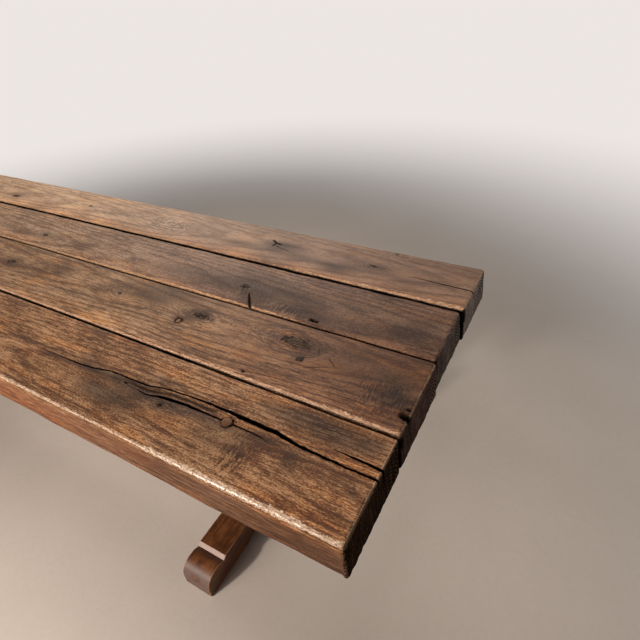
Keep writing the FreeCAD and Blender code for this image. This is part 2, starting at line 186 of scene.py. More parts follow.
# %% Finishes
class Finish(Shading):
    """A material under construction."""

    def __init__(self, name):
        self.material = bpy.data.materials.new(name)
        self.material.use_nodes = True
        super().__init__(self.material.node_tree, "Principled BSDF")

    def read(self, name, out="Fac"):
        """A named attribute of the mesh."""
        return self.node("ShaderNodeAttribute", {"attribute_name": name}, {}, out)

    def place(self):
        """Object coordinates, in metres."""
        return self.node("ShaderNodeTexCoord", {}, {}, "Object")

    def apart(self, vector):
        """The three numbers of a vector."""
        made = self.node("ShaderNodeSeparateXYZ", {}, {0: vector})
        outputs = made.socket.node.outputs
        return [Wire(self, outputs[axis]) for axis in ("X", "Y", "Z")]

    def stretch(self, vector, scale):
        return self.node("ShaderNodeVectorMath", {"operation": "MULTIPLY"}, {0: vector, 1: scale})

    def shift(self, vector, offset):
        return self.node("ShaderNodeVectorMath", {"operation": "ADD"}, {0: vector, 1: offset})

    def cloud(self, vector, scale, detail=2.0, rough=0.5, warp=0.0):
        """Noise from 0 to 1 with its own size along each axis."""
        values = {"Vector": self.stretch(vector, scale), "Scale": 1.0, "Detail": detail,
                  "Roughness": rough, "Distortion": warp}
        return self.node("ShaderNodeTexNoise", {}, values)

    def wave(self, value):
        """A sine from 0 to 1."""
        return self.node("ShaderNodeMath", {"operation": "SINE"}, {0: value}) * 0.5 + 0.5

    def ease(self, value, low, high):
        """A smooth step from 0 at low to 1 at high."""
        values = {"Value": value, "From Min": low, "From Max": high}
        return self.node("ShaderNodeMapRange", {"interpolation_type": "SMOOTHSTEP"}, values)

    def ramp(self, value, stops):
        return self.node("ShaderNodeValToRGB", {"stops": stops}, {0: value})

    def mix(self, share, first, second, blend="MIX"):
        """Two colours mixed; a plain triple is a fixed colour."""
        pair = [(*c, 1.0) if isinstance(c, tuple) else c for c in (first, second)]
        settings = {"data_type": "RGBA", "blend_type": blend, "clamp_factor": True}
        return self.node("ShaderNodeMix", settings, {0: share, 6: pair[0], 7: pair[1]}, 2)

    def tint(self, colour, by):
        """A colour multiplied by another."""
        return self.mix(1.0, colour, by, "MULTIPLY")

    def bump(self, height, distance, strength=1.0):
        values = {"Height": height, "Distance": distance, "Strength": strength}
        return self.node("ShaderNodeBump", {}, values)


print("finishes ready")

# %% [markdown]
# ## Floor, background and light
# The table stands in a plain pale studio. The floor is one disc that fades out towards its rim, so that any
# view meets the same off-white background without a horizon line. The background is bright for the rays that
# look at it, also by way of a mirror or glass; as a light it is dim. Five soft lamps light the table: a small
# and a broad one at the front left, which make the worn front edges shine, one overhead, one at the far left
# for the sheen along the far planks, and a narrow one that just lifts the dark right ends.

# %% Floor
FLOOR_RADIUS = 6.0
FLOOR_FADE = (1.7, 5.0)
FLOOR_GLOW = (1.6, 4.0)
GLOW_SHARE = 0.3
SCREED_DARK = (0.50, 0.43, 0.375)
SCREED_PALE = (0.56, 0.485, 0.43)
BACKGROUND = (0.84, 0.79, 0.76)

bm = bmesh.new()
bmesh.ops.create_circle(bm, cap_ends=True, segments=96, radius=FLOOR_RADIUS)
floor_mesh = bpy.data.meshes.new("studio_floor")
bm.to_mesh(floor_mesh)
bm.free()
floor = bpy.data.objects.new("studio_floor", floor_mesh)
scene.collection.objects.link(floor)

screed = Finish("pale_screed")
where = screed.place()
mottle = screed.cloud(where, (1.3, 1.3, 1.3), 4.0, 0.6)
grit = screed.cloud(where, (60.0, 60.0, 60.0), 3.0, 0.6)
tone = mottle * 0.7 + grit * 0.3
screed.wear(Base_Color=screed.mix(screed.ease(tone, 0.3, 0.7), SCREED_DARK, SCREED_PALE),
            Roughness=grit * 0.2 + 0.55, Specular_IOR_Level=0.1)
east, north = screed.apart(where)[:2]
reach = (east ** 2.0 + north ** 2.0) ** 0.5
glow = screed.in_view() * screed.ease(reach, *FLOOR_GLOW) * GLOW_SHARE
screed.wear(Emission_Color=screed.mix(glow, (0.0, 0.0, 0.0), BACKGROUND), Emission_Strength=1.0)
clear = screed.node("ShaderNodeBsdfTransparent")
solid = Wire(screed, screed.shader.outputs[0])
faded = screed.node("ShaderNodeMixShader", {}, {0: screed.ease(reach, *FLOOR_FADE), 1: solid, 2: clear})
screed.feed(screed.tree.nodes["Material Output"].inputs["Surface"], faded)
floor_mesh.materials.append(screed.material)
print(f"floor disc {FLOOR_RADIUS} m in radius, fading from {FLOOR_FADE[0]} m")

# %% Background and lamps
AMBIENT = 0.09
WARM = (1.0, 0.93, 0.85)

world = bpy.data.worlds.new("studio")
world.use_nodes = True
scene.world = world
sky = Shading(world.node_tree, "Background")
sky.wear(Color=(*BACKGROUND, 1.0), Strength=sky.in_view() * (1.0 - AMBIENT) + AMBIENT)


def lamp(name, place, target, size, power, colour, spread=150.0):
    """A soft rectangular lamp that looks at a point."""
    data = bpy.data.lights.new(name, "AREA")
    data.shape = "RECTANGLE"
    data.size, data.size_y = size
    data.energy = power
    data.color = colour
    data.spread = math.radians(spread)
    holder = bpy.data.objects.new(name, data)
    holder.location = place
    holder.visible_camera = False
    holder.rotation_euler = (Vector(target) - Vector(place)).to_track_quat("-Z", "Y").to_euler()
    scene.collection.objects.link(holder)


lamp("front_key", (0.0, -2.35, 1.4), (0.6, -0.3, 0.5), (0.16, 0.16), 33.0, WARM)
lamp("front_softbox", (-0.1, -2.45, 1.45), (0.6, -0.3, 0.5), (1.6, 0.7), 25.5, WARM)
lamp("overhead_softbox", (1.0, -0.05, 2.0), (1.0, -0.1, 0.78), (0.9, 0.9), 8.0, (1.0, 0.97, 0.93))
lamp("far_left_softbox", (-0.6, 1.7, 2.0), (0.0, 0.3, 0.78), (1.8, 0.8), 25.0, (1.0, 0.96, 0.90))
lamp("right_end_softbox", (3.3, 1.0, 0.95), (1.3, 0.28, 0.74), (0.5, 0.5), 0.5, (0.94, 0.97, 1.0), 24.0)
scene.view_settings.view_transform = "Standard"
print("five soft lamps and an off-white background")

# %% [markdown]
# ## What each plank has been through
# The planks differ: knots, splits, stains and holes sit at known places. Each is written as a distance in
# millimetres from the right end of the top and from the plank's own near edge, so that the lists read like a
# joiner's notes and follow the node if its place changes. The marks beyond the middle of the table are of
# the same kinds, spread the way such planks usually have them.
#
# A stain of negative strength is a paler patch. A feather is a patch of curly grain, hatched across. A slash
# is a short fine crack from one place to another. A split is a row of stations, each with the split's middle,
# half its width and its depth. The lanes say how many columns of the grid lie between one split and the next.

# %% Notes on the planks
Knot = namedtuple("Knot", "from_end from_edge long wide sound", defaults=(0.0,))
Stain = namedtuple("Stain", "from_end from_edge long wide strength")
Hole = namedtuple("Hole", "from_end from_edge long wide depth")
Feather = namedtuple("Feather", "from_end from_edge long wide")
Slash = namedtuple("Slash", "from_end from_edge to_end to_edge half strength")

NOTES = {
    "plank_far": {
        "knots": [
            (651, 120, 24, 12, 0.7), (297, 107, 20, 9, 0.3), (1545, 104, 12, 7), (254, 202, 16, 8, 0.8),
            (1105, 96, 42, 24, 1.3), (1980, 60, 22, 12), (2310, 140, 18, 10),
        ],
        "stains": [
            (630, 114, 75, 26, 0.65), (280, 105, 70, 20, 0.55), (561, 127, 60, 30, 0.3),
            (1000, 110, 60, 30, 0.3), (160, 118, 90, 30, 0.35), (254, 205, 30, 12, 0.35),
            (395, 40, 62, 30, 0.6), (780, 80, 80, 30, 0.3), (540, 60, 60, 60, 0.25),
            (650, 70, 300, 22, 0.45), (200, 70, 200, 20, 0.35), (1990, 62, 80, 30, 0.6),
            (2310, 140, 60, 30, 0.6),
        ],
        "holes": [(1546, 104, 5, 3, 4), (1985, 61, 9, 4, 6)],
        "feathers": [(1080, 96, 70, 40), (254, 200, 28, 10)],
        "slashes": [
            (647, 120, 668, 135, 4.6, 1.0), (648, 121, 626, 117, 5.0, 1.0),
            (647, 121, 649, 100, 4.6, 1.0), (638, 105, 624, 99, 1.8, 0.9), (624, 99, 579, 88, 1.4, 0.8),
            (1609, 105, 1552, 102, 1.6, 0.7), (302, 110, 287, 100, 2.6, 0.9),
            (297, 105, 258, 108, 1.4, 0.6), (268, 196, 246, 204, 1.8, 0.8),
            (262, 205, 250, 192, 1.6, 0.7), (240, 200, 228, 206, 1.4, 0.6),
        ],
        "splits": [
            [(-5, 90, 3.4, 36), (75, 93, 3.0, 32), (130, 95, 2.4, 24), (185, 97, 0.6, 0),
             (2700, 97, 0.4, 0)],
        ],
        "lanes": [19, 26],
    },
    "plank_mid_far": {
        "knots": [(590, 80, 14, 10), (2080, 120, 26, 14), (1490, 70, 16, 10)],
        "stains": [
            (640, 84, 150, 40, 0.75), (540, 40, 70, 40, 0.7), (97, 60, 70, 40, 0.5),
            (235, 44, 130, 46, 0.55), (420, 40, 90, 40, 0.25), (300, 125, 190, 40, 0.3),
            (330, 28, 40, 24, 0.5), (390, 34, 70, 20, 0.3), (430, 100, 90, 36, 0.35),
            (60, 120, 80, 60, 0.35), (870, 68, 110, 28, 0.4), (590, 140, 90, 30, 0.3),
            (740, 190, 90, 30, 0.3), (2080, 120, 90, 36, 0.7), (1490, 70, 60, 30, 0.5),
        ],
        "holes": [(328, 20, 12, 5, 12), (318, 17, 7, 3, 8), (590, 78, 4, 4, 4), (2085, 120, 8, 5, 6)],
        "feathers": [(425, 28, 75, 26), (585, 62, 34, 26)],
        "slashes": [
            (517, -2, 538, 28, 3.0, 1.0), (538, 28, 556, 54, 1.9, 1.0), (336, 22, 321, 18, 4.6, 1.0),
            (594, 84, 586, 74, 1.6, 0.8),
        ],
        "splits": [],
        "lanes": [60],
    },
    "plank_mid_near": {
        "knots": [
            (914, 135, 24, 12, 0.5), (616, 148, 32, 13), (325, 156, 44, 19, 0.08), (1420, 120, 20, 12),
            (1890, 60, 26, 14), (2330, 150, 18, 11),
        ],
        "stains": [
            (612, 147, 46, 20, 0.5), (322, 156, 56, 20, 0.35), (914, 135, 50, 18, 0.35),
            (45, 82, 60, 44, 0.65), (45, 150, 60, 70, 0.3), (660, 106, 26, 18, 0.35),
            (287, 109, 16, 13, 0.6), (383, 21, 14, 10, 0.55), (400, 60, 40, 24, 0.3),
            (170, 130, 150, 80, 0.42), (790, 182, 130, 45, 0.6), (190, 170, 60, 45, 0.3),
            (470, 75, 50, 26, 0.3), (230, 45, 200, 34, -0.4), (500, 216, 500, 18, 0.35),
            (950, 60, 80, 50, -0.6), (820, 150, 110, 22, 0.4), (1420, 120, 60, 30, 0.55),
            (1890, 60, 80, 34, 0.7), (2330, 150, 60, 30, 0.6),
        ],
        "holes": [
            (659, 106, 13, 12, 4.5), (383, 21, 5, 4, 7), (5, 50, 13, 8, 22), (6, 70, 7, 3, 5),
            (609, 149, 12, 2, 4), (622, 145, 5, 5, 3), (1888, 60, 9, 5, 6),
        ],
        "feathers": [(52, 84, 62, 46), (606, 146, 44, 20)],
        "slashes": [
            (226, 140, 199, 118, 1.8, 0.55), (262, 88, 203, 115, 1.6, 0.5),
            (279, 115, 250, 134, 1.4, 0.5), (250, 134, 259, 157, 1.4, 0.4),
        ],
        "splits": [],
        "lanes": [50],
    },
    "plank_near": {
        "knots": [(485, 100, 8, 5), (1180, 70, 24, 13), (1720, 150, 20, 11), (2240, 90, 26, 14)],
        "stains": [
            # Some of these stains are painted shade: those at 340, 520 and 750 mm from the end, along the
            # splits, stand for shadow there.
            (540, 118, 140, 22, 0.85), (470, 104, 70, 12, 0.6), (710, 115, 110, 26, 0.6),
            (262, 72, 30, 34, 0.5), (225, 120, 45, 18, 0.7), (158, 100, 26, 40, 0.5),
            (645, 66, 80, 24, 0.75), (120, 197, 110, 34, 0.95), (70, 115, 90, 24, 0.35),
            (520, 160, 60, 20, 0.65), (340, 114, 85, 14, 0.65), (330, 78, 60, 22, 0.35),
            (560, 78, 170, 18, 0.4), (45, 200, 45, 26, 0.5), (140, 157, 80, 16, 0.35),
            (330, 195, 120, 30, 0.35), (750, 160, 60, 22, 0.8), (235, 200, 60, 26, 0.25),
            (28, 94, 14, 10, 0.5), (320, 50, 60, 34, 0.2), (110, 80, 110, 40, 0.2),
            (570, 50, 60, 30, 0.5), (740, 195, 140, 40, -0.6), (1180, 70, 70, 30, 0.6),
            (1720, 150, 60, 30, 0.6), (2240, 90, 80, 34, 0.7),
        ],
        "holes": [(322, 125, 15, 14, 5), (485, 100, 5, 4, 6), (607, 116, 6, 3, 5), (1178, 70, 8, 5, 6)],
        "feathers": [(262, 70, 30, 40)],
        "slashes": [],
        "splits": [
            [(-5, 119, 0.4, 0), (222, 120, 0.4, 0), (253, 124.5, 2.2, 14), (305, 124.6, 2.6, 18),
             (334, 125, 2.4, 20), (378, 124.7, 2.8, 24), (436, 124.8, 4.2, 34), (480, 121.5, 4.8, 36),
             (505, 118, 4.0, 34), (535, 109, 2.2, 22), (560, 111, 1.4, 14), (607, 113, 0.4, 0),
             (690, 106, 0.4, 0), (760, 96, 0.4, 0), (2700, 92, 0.4, 0)],
            [(-5, 135, 3.0, 40), (59, 135, 3.0, 40), (114, 137, 3.6, 42), (158, 138, 4.4, 44),
             (218, 146.7, 5.8, 46), (287, 148, 6.2, 46), (340, 150.2, 4.6, 40), (390, 150.2, 3.4, 34),
             (440, 148, 2.6, 28), (514, 142, 2.6, 28), (555, 131.5, 2.8, 28), (610, 130.5, 2.4, 24),
             (667, 129.5, 2.6, 26), (714, 119, 3.0, 28), (761, 114, 2.6, 24), (840, 112, 1.8, 14),
             (900, 110, 0.4, 0), (2700, 108, 0.4, 0)],
            [(-5, 157, 4.2, 36), (33, 159, 3.6, 32), (70, 159.6, 2.4, 22), (102, 160, 0.6, 0),
             (280, 166, 0.4, 0), (400, 168, 0.4, 0), (2700, 150, 0.4, 0)],
        ],
        "lanes": [24, 3, 3, 14],
    },
}
KINDS = {"knots": Knot, "stains": Stain, "holes": Hole, "feathers": Feather, "slashes": Slash}
for notes in NOTES.values():
    for listed, kind in KINDS.items():
        notes[listed] = [kind(*numbers) for numbers in notes[listed]]
print({name: {mark: len(listed) for mark, listed in notes.items()} for name, notes in NOTES.items()})

# %% [markdown]
# ## Shaping a plank
# An old plank is a box only from afar. Its arrises are rubbed round, its faces wave a little, and its splits
# run for most of a metre. A sculpted high-resolution mesh would show this, and so would displacement in the
# shader, but displacement is lost on export. So each plank is one block whose edges are subdivided into a
# grid, closer near the right end, and every grid line gets a place: columns follow the splits like contour
# lines, which keeps a 3 mm split crisp without a mesh of millions of faces. The strip between the first two
# splits of the near plank has sunk a little.

# %% Columns of a plank
ARRIS = [0.0, 2.5, 5.5, 9.0, 14.0]
LIP_REACH = 3.0
SPLIT_SHARES = [-1.0, -1.0, -0.92, -0.6, 0.0, 0.6, 0.92, 1.0, 1.0]
SPLIT_REACHES = [-1.0, 0.0, 0.0, 0.0, 0.0, 0.0, 0.0, 0.0, 1.0]
SPLIT_DROPS = [0.0, 0.015, 0.10, 0.75, 1.0, 0.75, 0.10, 0.015, 0.0]
SPLIT_LIPS = [0.0, 0.05, 0.0, 0.0, 0.0, 0.0, 0.0, 0.24, 0.12]
SUNK_DEPTH = 5.0
SUNK_START = (330.0, 385.0)
SUNK_STOP = (560.0, 625.0)

Column = namedtuple("Column", "edge drop sunk lip")


def ease(low, high, value):
    """A smooth step from 0 at low to 1 at high."""
    share = min(max((value - low) / (high - low), 0.0), 1.0)
    return share * share * (3.0 - 2.0 * share)


def ripple(x, y, seed):
    """Smooth noise from about -1 to 1."""
    return noise.noise((x, y, seed))


def split_at(stations, from_end, seed):
    """The middle, half width and depth of a split at a distance from the end."""
    for before, after in zip(stations, stations[1:]):
        if from_end <= after[0]:
            break
    share = min(max((from_end - before[0]) / (after[0] - before[0]), 0.0), 1.0)
    middle, half, depth = (a + (b - a) * share for a, b in zip(before[1:], after[1:]))
    frayed = ease(0.5, 2.0, half)
    middle += frayed * (1.1 * ripple(from_end / 23.0, 0.0, seed) + 0.6 * ripple(from_end / 7.0, 0.5, seed))
    half *= 1.0 + 0.3 * frayed * ripple(from_end / 12.0, 3.0, seed)
    return middle, half, depth


def columns_at(notes, width, from_end, seed):
    """Every column of the grid at one station: where it is, and what a split does there."""
    columns = [Column(edge, 0.0, 0.0, 0.0) for edge in ARRIS]
    sunk = SUNK_DEPTH * ease(*SUNK_START, from_end) * (1.0 - ease(*SUNK_STOP, from_end))
    last_split = len(notes["splits"]) - 1
    for number, count in enumerate(notes["lanes"]):
        if number <= last_split:
            middle, half, depth = split_at(notes["splits"][number], from_end, seed + number)
            places = zip(SPLIT_SHARES, SPLIT_REACHES)
            edges = [middle + share * half + reach * LIP_REACH for share, reach in places]
            marks = list(zip(edges, SPLIT_DROPS, SPLIT_LIPS))
        else:
            depth = 0.0
            marks = [(width - edge, 0.0, 0.0) for edge in reversed(ARRIS)]
        start = columns[-1].edge
        low_lane = sunk if 0 < number < last_split else 0.0
        for step in range(count):
            edge = start + (marks[0][0] - start) * (step + 1) / (count + 1)
            columns.append(Column(edge, 0.0, low_lane, 0.0))
        open_share = ease(0.0, 10.0, depth)
        for edge, drop, lip in marks:
            columns.append(Column(max(edge, columns[-1].edge + 0.1), drop * depth, 0.0, lip * open_share))
    return columns


print(f"{len(SPLIT_SHARES)} columns follow each split")

# %% Grid of a plank
NEAR_REACH = 730.0
NEAR_STEP = 3.4
MIDDLE_REACH = 1500.0
MIDDLE_STEP = 7.0
FAR_STEP = 10.0


def spaced(start, stop, step):
    """Evenly spaced places from start up to, but not including, stop."""
    count = max(1, round((stop - start) / step))
    return [start + (stop - start) * index / count for index in range(count)]


def stations_along(length):
    """Distances from the right end of a plank, close together where the camera is near."""
    near = spaced(ARRIS[-1], NEAR_REACH, NEAR_STEP)
    middle = spaced(NEAR_REACH, MIDDLE_REACH, MIDDLE_STEP)
    far = spaced(MIDDLE_REACH, length - ARRIS[-1], FAR_STEP)
    ends = [length - edge for edge in reversed(ARRIS)]
    return ARRIS[:-1] + near + middle + far + ends


def grid_block(counts):
    """A unit cube whose edges are divided into a number of steps along each axis."""
    bm = bmesh.new()
    bmesh.ops.create_cube(bm, size=1.0)
    for axis in (2, 1, 0):
        edges = [e for e in bm.edges if abs(e.verts[0].co[axis] - e.verts[1].co[axis]) > 0.9]
        bmesh.ops.subdivide_edges(bm, edges=edges, cuts=counts[axis] - 1, use_grid_fill=True)
    return bm


top_length = (CAD_BOX[1][0] - CAD_BOX[0][0]) / MM
print(f"{len(stations_along(top_length))} stations along a plank")

# %% [markdown]
# The block is then shaped point by point. A point near an edge of the box is pulled onto an ellipse, which
# rubs the arris round by an amount that wanders along the plank. The same pull gives the direction in which
# the surface faces, and along that the faces wave, the holes sink and the ends break off roughly. While the
# place is known, the point also notes what the finish needs later: how worn it is, how dirty, where some
# painted shade is mixed in with the dirt, how much painted shade it takes inside a split or hole or on a side
# that faces into a gap, and a grain coordinate that bends round the knots as real fibres do.
#
# The table says how each plank was hewn. Near and far are the radii of its long arrises, the near one by the
# end and by the middle, and wave is how much its two sides wave. Wear is how bare the near arris is by the
# end and by the middle, then the far arris and the ends. Near_dark and far_gap_shade, in shares of the
# radius, say where painted shade begins on a side that faces into a gap, and where it is full.

# %% How each plank was hewn
HEWN = {
    "plank_far": {
        "seed": 11.0, "near": (13.0, 11.0), "far": 9.0, "wave": (0.5, 1.0),
        "wear": (1.0, 0.45, 0.35, 0.85), "near_gap_shade": (0.4, 0.62), "far_gap_shade": None,
    },
    "plank_mid_far": {
        "seed": 23.0, "near": (7.5, 11.5), "far": 15.0, "wave": (0.45, 0.45),
        "wear": (0.35, 1.0, 0.2, 0.3), "near_gap_shade": (0.42, 0.72), "far_gap_shade": (0.02, 0.15),
    },
    "plank_mid_near": {
        "seed": 37.0, "near": (13.0, 8.0), "far": 8.0, "wave": (0.5, 0.45),
        "wear": (0.95, 0.95, 0.25, 0.7), "near_gap_shade": (0.75, 1.3), "far_gap_shade": (0.1, 0.4),
    },
    "plank_near": {
        "seed": 53.0, "near": (13.0, 5.0), "far": 5.0, "wave": (1.0, 0.5), "wear": (1.0, 1.0, 0.35, 1.0),
        "near_gap_shade": None, "far_gap_shade": (0.42, 0.8),
    },
}
UNDER_RADIUS = 4.0
END_RADIUS = 3.2
LEAST_RADIUS = 1.5
ROUND_FADE = (200.0, 620.0)
LEVEL_STEP = 9.0
TOP_WAVES = ((1.0, 330.0, 130.0), (0.5, 90.0, 26.0))
SIDE_WAVES = ((2.6, 420.0, 160.0), (1.2, 110.0, 34.0))
END_WAVES = ((1.6, 40.0, 90.0), (1.2, 11.0, 30.0))
END_LEAN = (9.5, 3.5)
LEFT_END_LEAN = 1.0
WANE_WAVES = ((1.0, 300.0, 1.0), (0.4, 90.0, 1.0))
WANE_DEPTH = 8.0
WANE_REACH = 70.0
WEAR_FADE = (240.0, 600.0)
UNDERSIDE_WEAR = 0.3
STRIP_WEAR = 0.36
STRIP_REACH = 10.0
SUNK_DIRT_AND_SHADE = 0.75
NO_KNOT = 9.0
CROSS_SPLIT = {"from_end": 517.0, "slant": 0.72, "half": 3.4, "depth": 16.0}
print({name: hewn["near"] for name, hewn in HEWN.items()})


# %% Wear of a point
def ripples(waves, x, y, seed):
    """A sum of ripples, each with a height and a length along x and y."""
    return sum(height * ripple(x / long, y / wide, seed + number)
               for number, (height, long, wide) in enumerate(waves))


def mound(mark, from_end, edge):
    """A soft bump of height 1 over a mark's length and width."""
    along = (from_end - mark.from_end) / mark.long
    across = (edge - mark.from_edge) / mark.wide
    return math.exp(-(along ** 2 + across ** 2))


def rubbed(point, low, high, radii):
    """Pull a point of a box onto its rounded arris; gives the point and the direction it faces."""
    inner = Vector([min(max(point[a], low[a] + radii[a]), high[a] - radii[a]) for a in range(3)])
    facing = Vector([(point[a] - inner[a]) / radii[a] for a in range(3)])
    if facing.length == 0.0:
        return point.copy(), facing
    facing.normalize()
    return Vector([inner[a] + facing[a] * radii[a] for a in range(3)]), facing


def swell_at(hewn, station, edge, level, share, facing):
    """How far the faces wave outwards at a point, and the ends lean, in millimetres."""
    seed = hewn["seed"]
    wave = hewn["wave"][0 if facing.y < 0.0 else 1]
    at_foot, at_top = END_LEAN
    lean = at_foot + (at_top - at_foot) * share if facing.x > 0.0 else LEFT_END_LEAN
    lean += ripples(END_WAVES, edge, level, seed + 5.0)
    swell = max(facing.z, 0.0) ** 2 * ripples(TOP_WAVES, station, edge, seed + 1.0)
    swell += facing.y ** 2 * wave * ripples(SIDE_WAVES, station, level, seed + 3.0)
    return swell + facing.x ** 2 * lean


def hollow_depth(holes, seed, from_end, edge):
    """How deep the holes and voids go at a place, in millimetres."""
    depth = 0.0
    for hole in holes:
        along = (from_end - hole.from_end) / hole.long
        across = (edge - hole.from_edge) / hole.wide
        if abs(along) < 1.6 and abs(across) < 1.6:
            ragged = 1.0 + 0.35 * ripple(from_end / 4.0, edge / 4.0, seed)
            away = math.hypot(along, across) * ragged
            depth = max(depth, hole.depth * (1.0 - ease(0.55, 1.25, away)))
    return depth


def cross_split_depth(from_end, edge):
    """The split that runs across the mid far plank from its near edge."""
    middle = CROSS_SPLIT["from_end"] + CROSS_SPLIT["slant"] * edge + 2.0 * ripple(edge / 9.0, 0.3, 5.0)
    half = CROSS_SPLIT["half"] * (1.0 - ease(30.0, 62.0, edge)) + 0.01
    inside = 1.0 - ease(0.5, 1.15, abs(from_end - middle) / half)
    return CROSS_SPLIT["depth"] * inside * (1.0 - ease(44.0, 60.0, edge))


def bent_grain(knots, from_end, edge):
    """The distance across the grain, pushed aside by the knots, and how near the nearest knot is."""
    bent = edge
    nearest = NO_KNOT
    for knot in knots:
        along = from_end - knot.from_end
        across = edge - knot.from_edge
        if abs(along) < knot.long * 9.0:
            pull = math.exp(-((along / (knot.long * 3.2)) ** 2) - (across / (knot.wide * 2.6)) ** 2)
            bent -= across * 0.88 * pull
            nearest = min(nearest, math.hypot(along / knot.long, across / knot.wide) + knot.sound)
    return bent, nearest


def wear_at(hewn, facing, from_end):
    """How bare an arris is by the side it is on, and how bare the near arris is at that station."""
    by_end, by_middle, far, ends = hewn["wear"]
    near = by_end + (by_middle - by_end) * ease(*WEAR_FADE, from_end)
    if abs(facing.x) > 0.2:
        wear = ends
    else:
        wear = near if facing.y < 0.0 else far
    if facing.z < 0.1:
        wear *= UNDERSIDE_WEAR
    return wear, near


print("waves, holes, knots and wear ready")


# %% Shape of a plank
def hewn_plank(name):
    """The shaped block of one plank, as a bmesh with its notes for the finish."""
    notes = NOTES[name]
    hewn = HEWN[name]
    seed = hewn["seed"]
    low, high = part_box(name)
    size = (high - low) / MM
    stations = [size.x - distance for distance in reversed(stations_along(size.x))]
    levels = ARRIS[:-1] + spaced(ARRIS[-1], size.z - ARRIS[-1], LEVEL_STEP)
    levels += [size.z - edge for edge in reversed(ARRIS)]
    short = (TOP_END - high.x) / MM
    rows = [columns_at(notes, size.y, short + size.x - station, seed) for station in stations]
    counts = (len(stations) - 1, len(rows[0]) - 1, len(levels) - 1)
    bm = grid_block(counts)
    grain = bm.verts.layers.float_vector.new("grain")
    kinds = ("worn", "grime", "knot", "hollow", "cut", "feather")
    marks = {kind: bm.verts.layers.float.new(kind) for kind in kinds}
    nothing = Vector((0.0, 0.0, 0.0))
    for vert in bm.verts:
        i, j, k = (round((vert.co[axis] + 0.5) * counts[axis]) for axis in range(3))
        station = stations[i]
        from_end = short + size.x - station
        column = rows[i][j]
        edge = column.edge
        level = levels[k]
        share = level / size.z

        rub = 1.0 + 0.28 * ripple(station / 90.0, 0.0, seed) + 0.16 * ripple(station / 21.0, 4.0, seed)
        by_end, by_middle = hewn["near"]
        near_round = by_end + (by_middle - by_end) * ease(*ROUND_FADE, from_end)
        side = near_round if edge < size.y / 2.0 else hewn["far"]
        round_by = max(LEAST_RADIUS, (side if share > 0.5 else UNDER_RADIUS) * rub)
        radii = (END_RADIUS * rub, round_by, round_by)
        point, facing = rubbed(Vector((station, edge, level)), nothing, size, radii)
        below = size.z - point.z
        upward = max(facing.z, 0.0)

        point += facing * swell_at(hewn, station, edge, level, share, facing)
        if name == "plank_near" and share < 0.5:
            wane = WANE_DEPTH * ripples(WANE_WAVES, station, 0.0, seed + 7.0)
            point.z += wane * (1.0 - 2.0 * share) * (1.0 - ease(0.0, WANE_REACH, edge))
        void = hollow_depth(notes["holes"], seed, from_end, edge)
        if name == "plank_mid_far":
            void = max(void, cross_split_depth(from_end, edge))
        point.z -= column.drop * share + (void + column.sunk) * share ** 4

        wear, near_wear = wear_at(hewn, facing, from_end)
        worn = wear * ease(0.0, 0.1, 1.0 - max(abs(part) for part in facing))
        strip = STRIP_WEAR * near_wear * math.exp(-edge / STRIP_REACH)
        worn = max(worn, strip * upward ** 2, column.lip * upward ** 2)
        # Painted shade: the insides of splits and holes, and a side that faces into a gap, are marked to be
        # painted near black.
        painted_shade = ease(0.6, 3.0, column.drop + void) * share ** 6
        dark = hewn["near_gap_shade"] if facing.y < 0.0 else hewn["far_gap_shade"]
        if dark and abs(facing.y) > 0.1:
            painted_shade = max(painted_shade, ease(dark[0] * round_by, dark[1] * round_by, below))
        # The sunk strip between the splits is darkened, partly as dirt and partly as painted shade.
        dirt_and_shade = SUNK_DIRT_AND_SHADE * ease(1.5, 4.5, column.sunk)
        dirt_and_shade += sum(stain.strength * mound(stain, from_end, edge) for stain in notes["stains"])
        curly = sum(mound(feather, from_end, edge) for feather in notes["feathers"])
        bent, nearest = bent_grain(notes["knots"], from_end, edge)

        vert[grain] = Vector((point.x, bent, point.z - size.z)) * MM
        vert[marks["worn"]] = worn * (1.0 - painted_shade)
        vert[marks["grime"]] = min(dirt_and_shade * (0.35 + 0.65 * upward), 1.0)
        vert[marks["knot"]] = nearest if facing.z > 0.0 else NO_KNOT
        vert[marks["hollow"]] = painted_shade
        vert[marks["cut"]] = ease(0.35, 0.75, abs(facing.x))
        vert[marks["feather"]] = min(curly, 1.0) * upward
        vert.co = low + point * MM
    return bm


print("plank shaping ready")
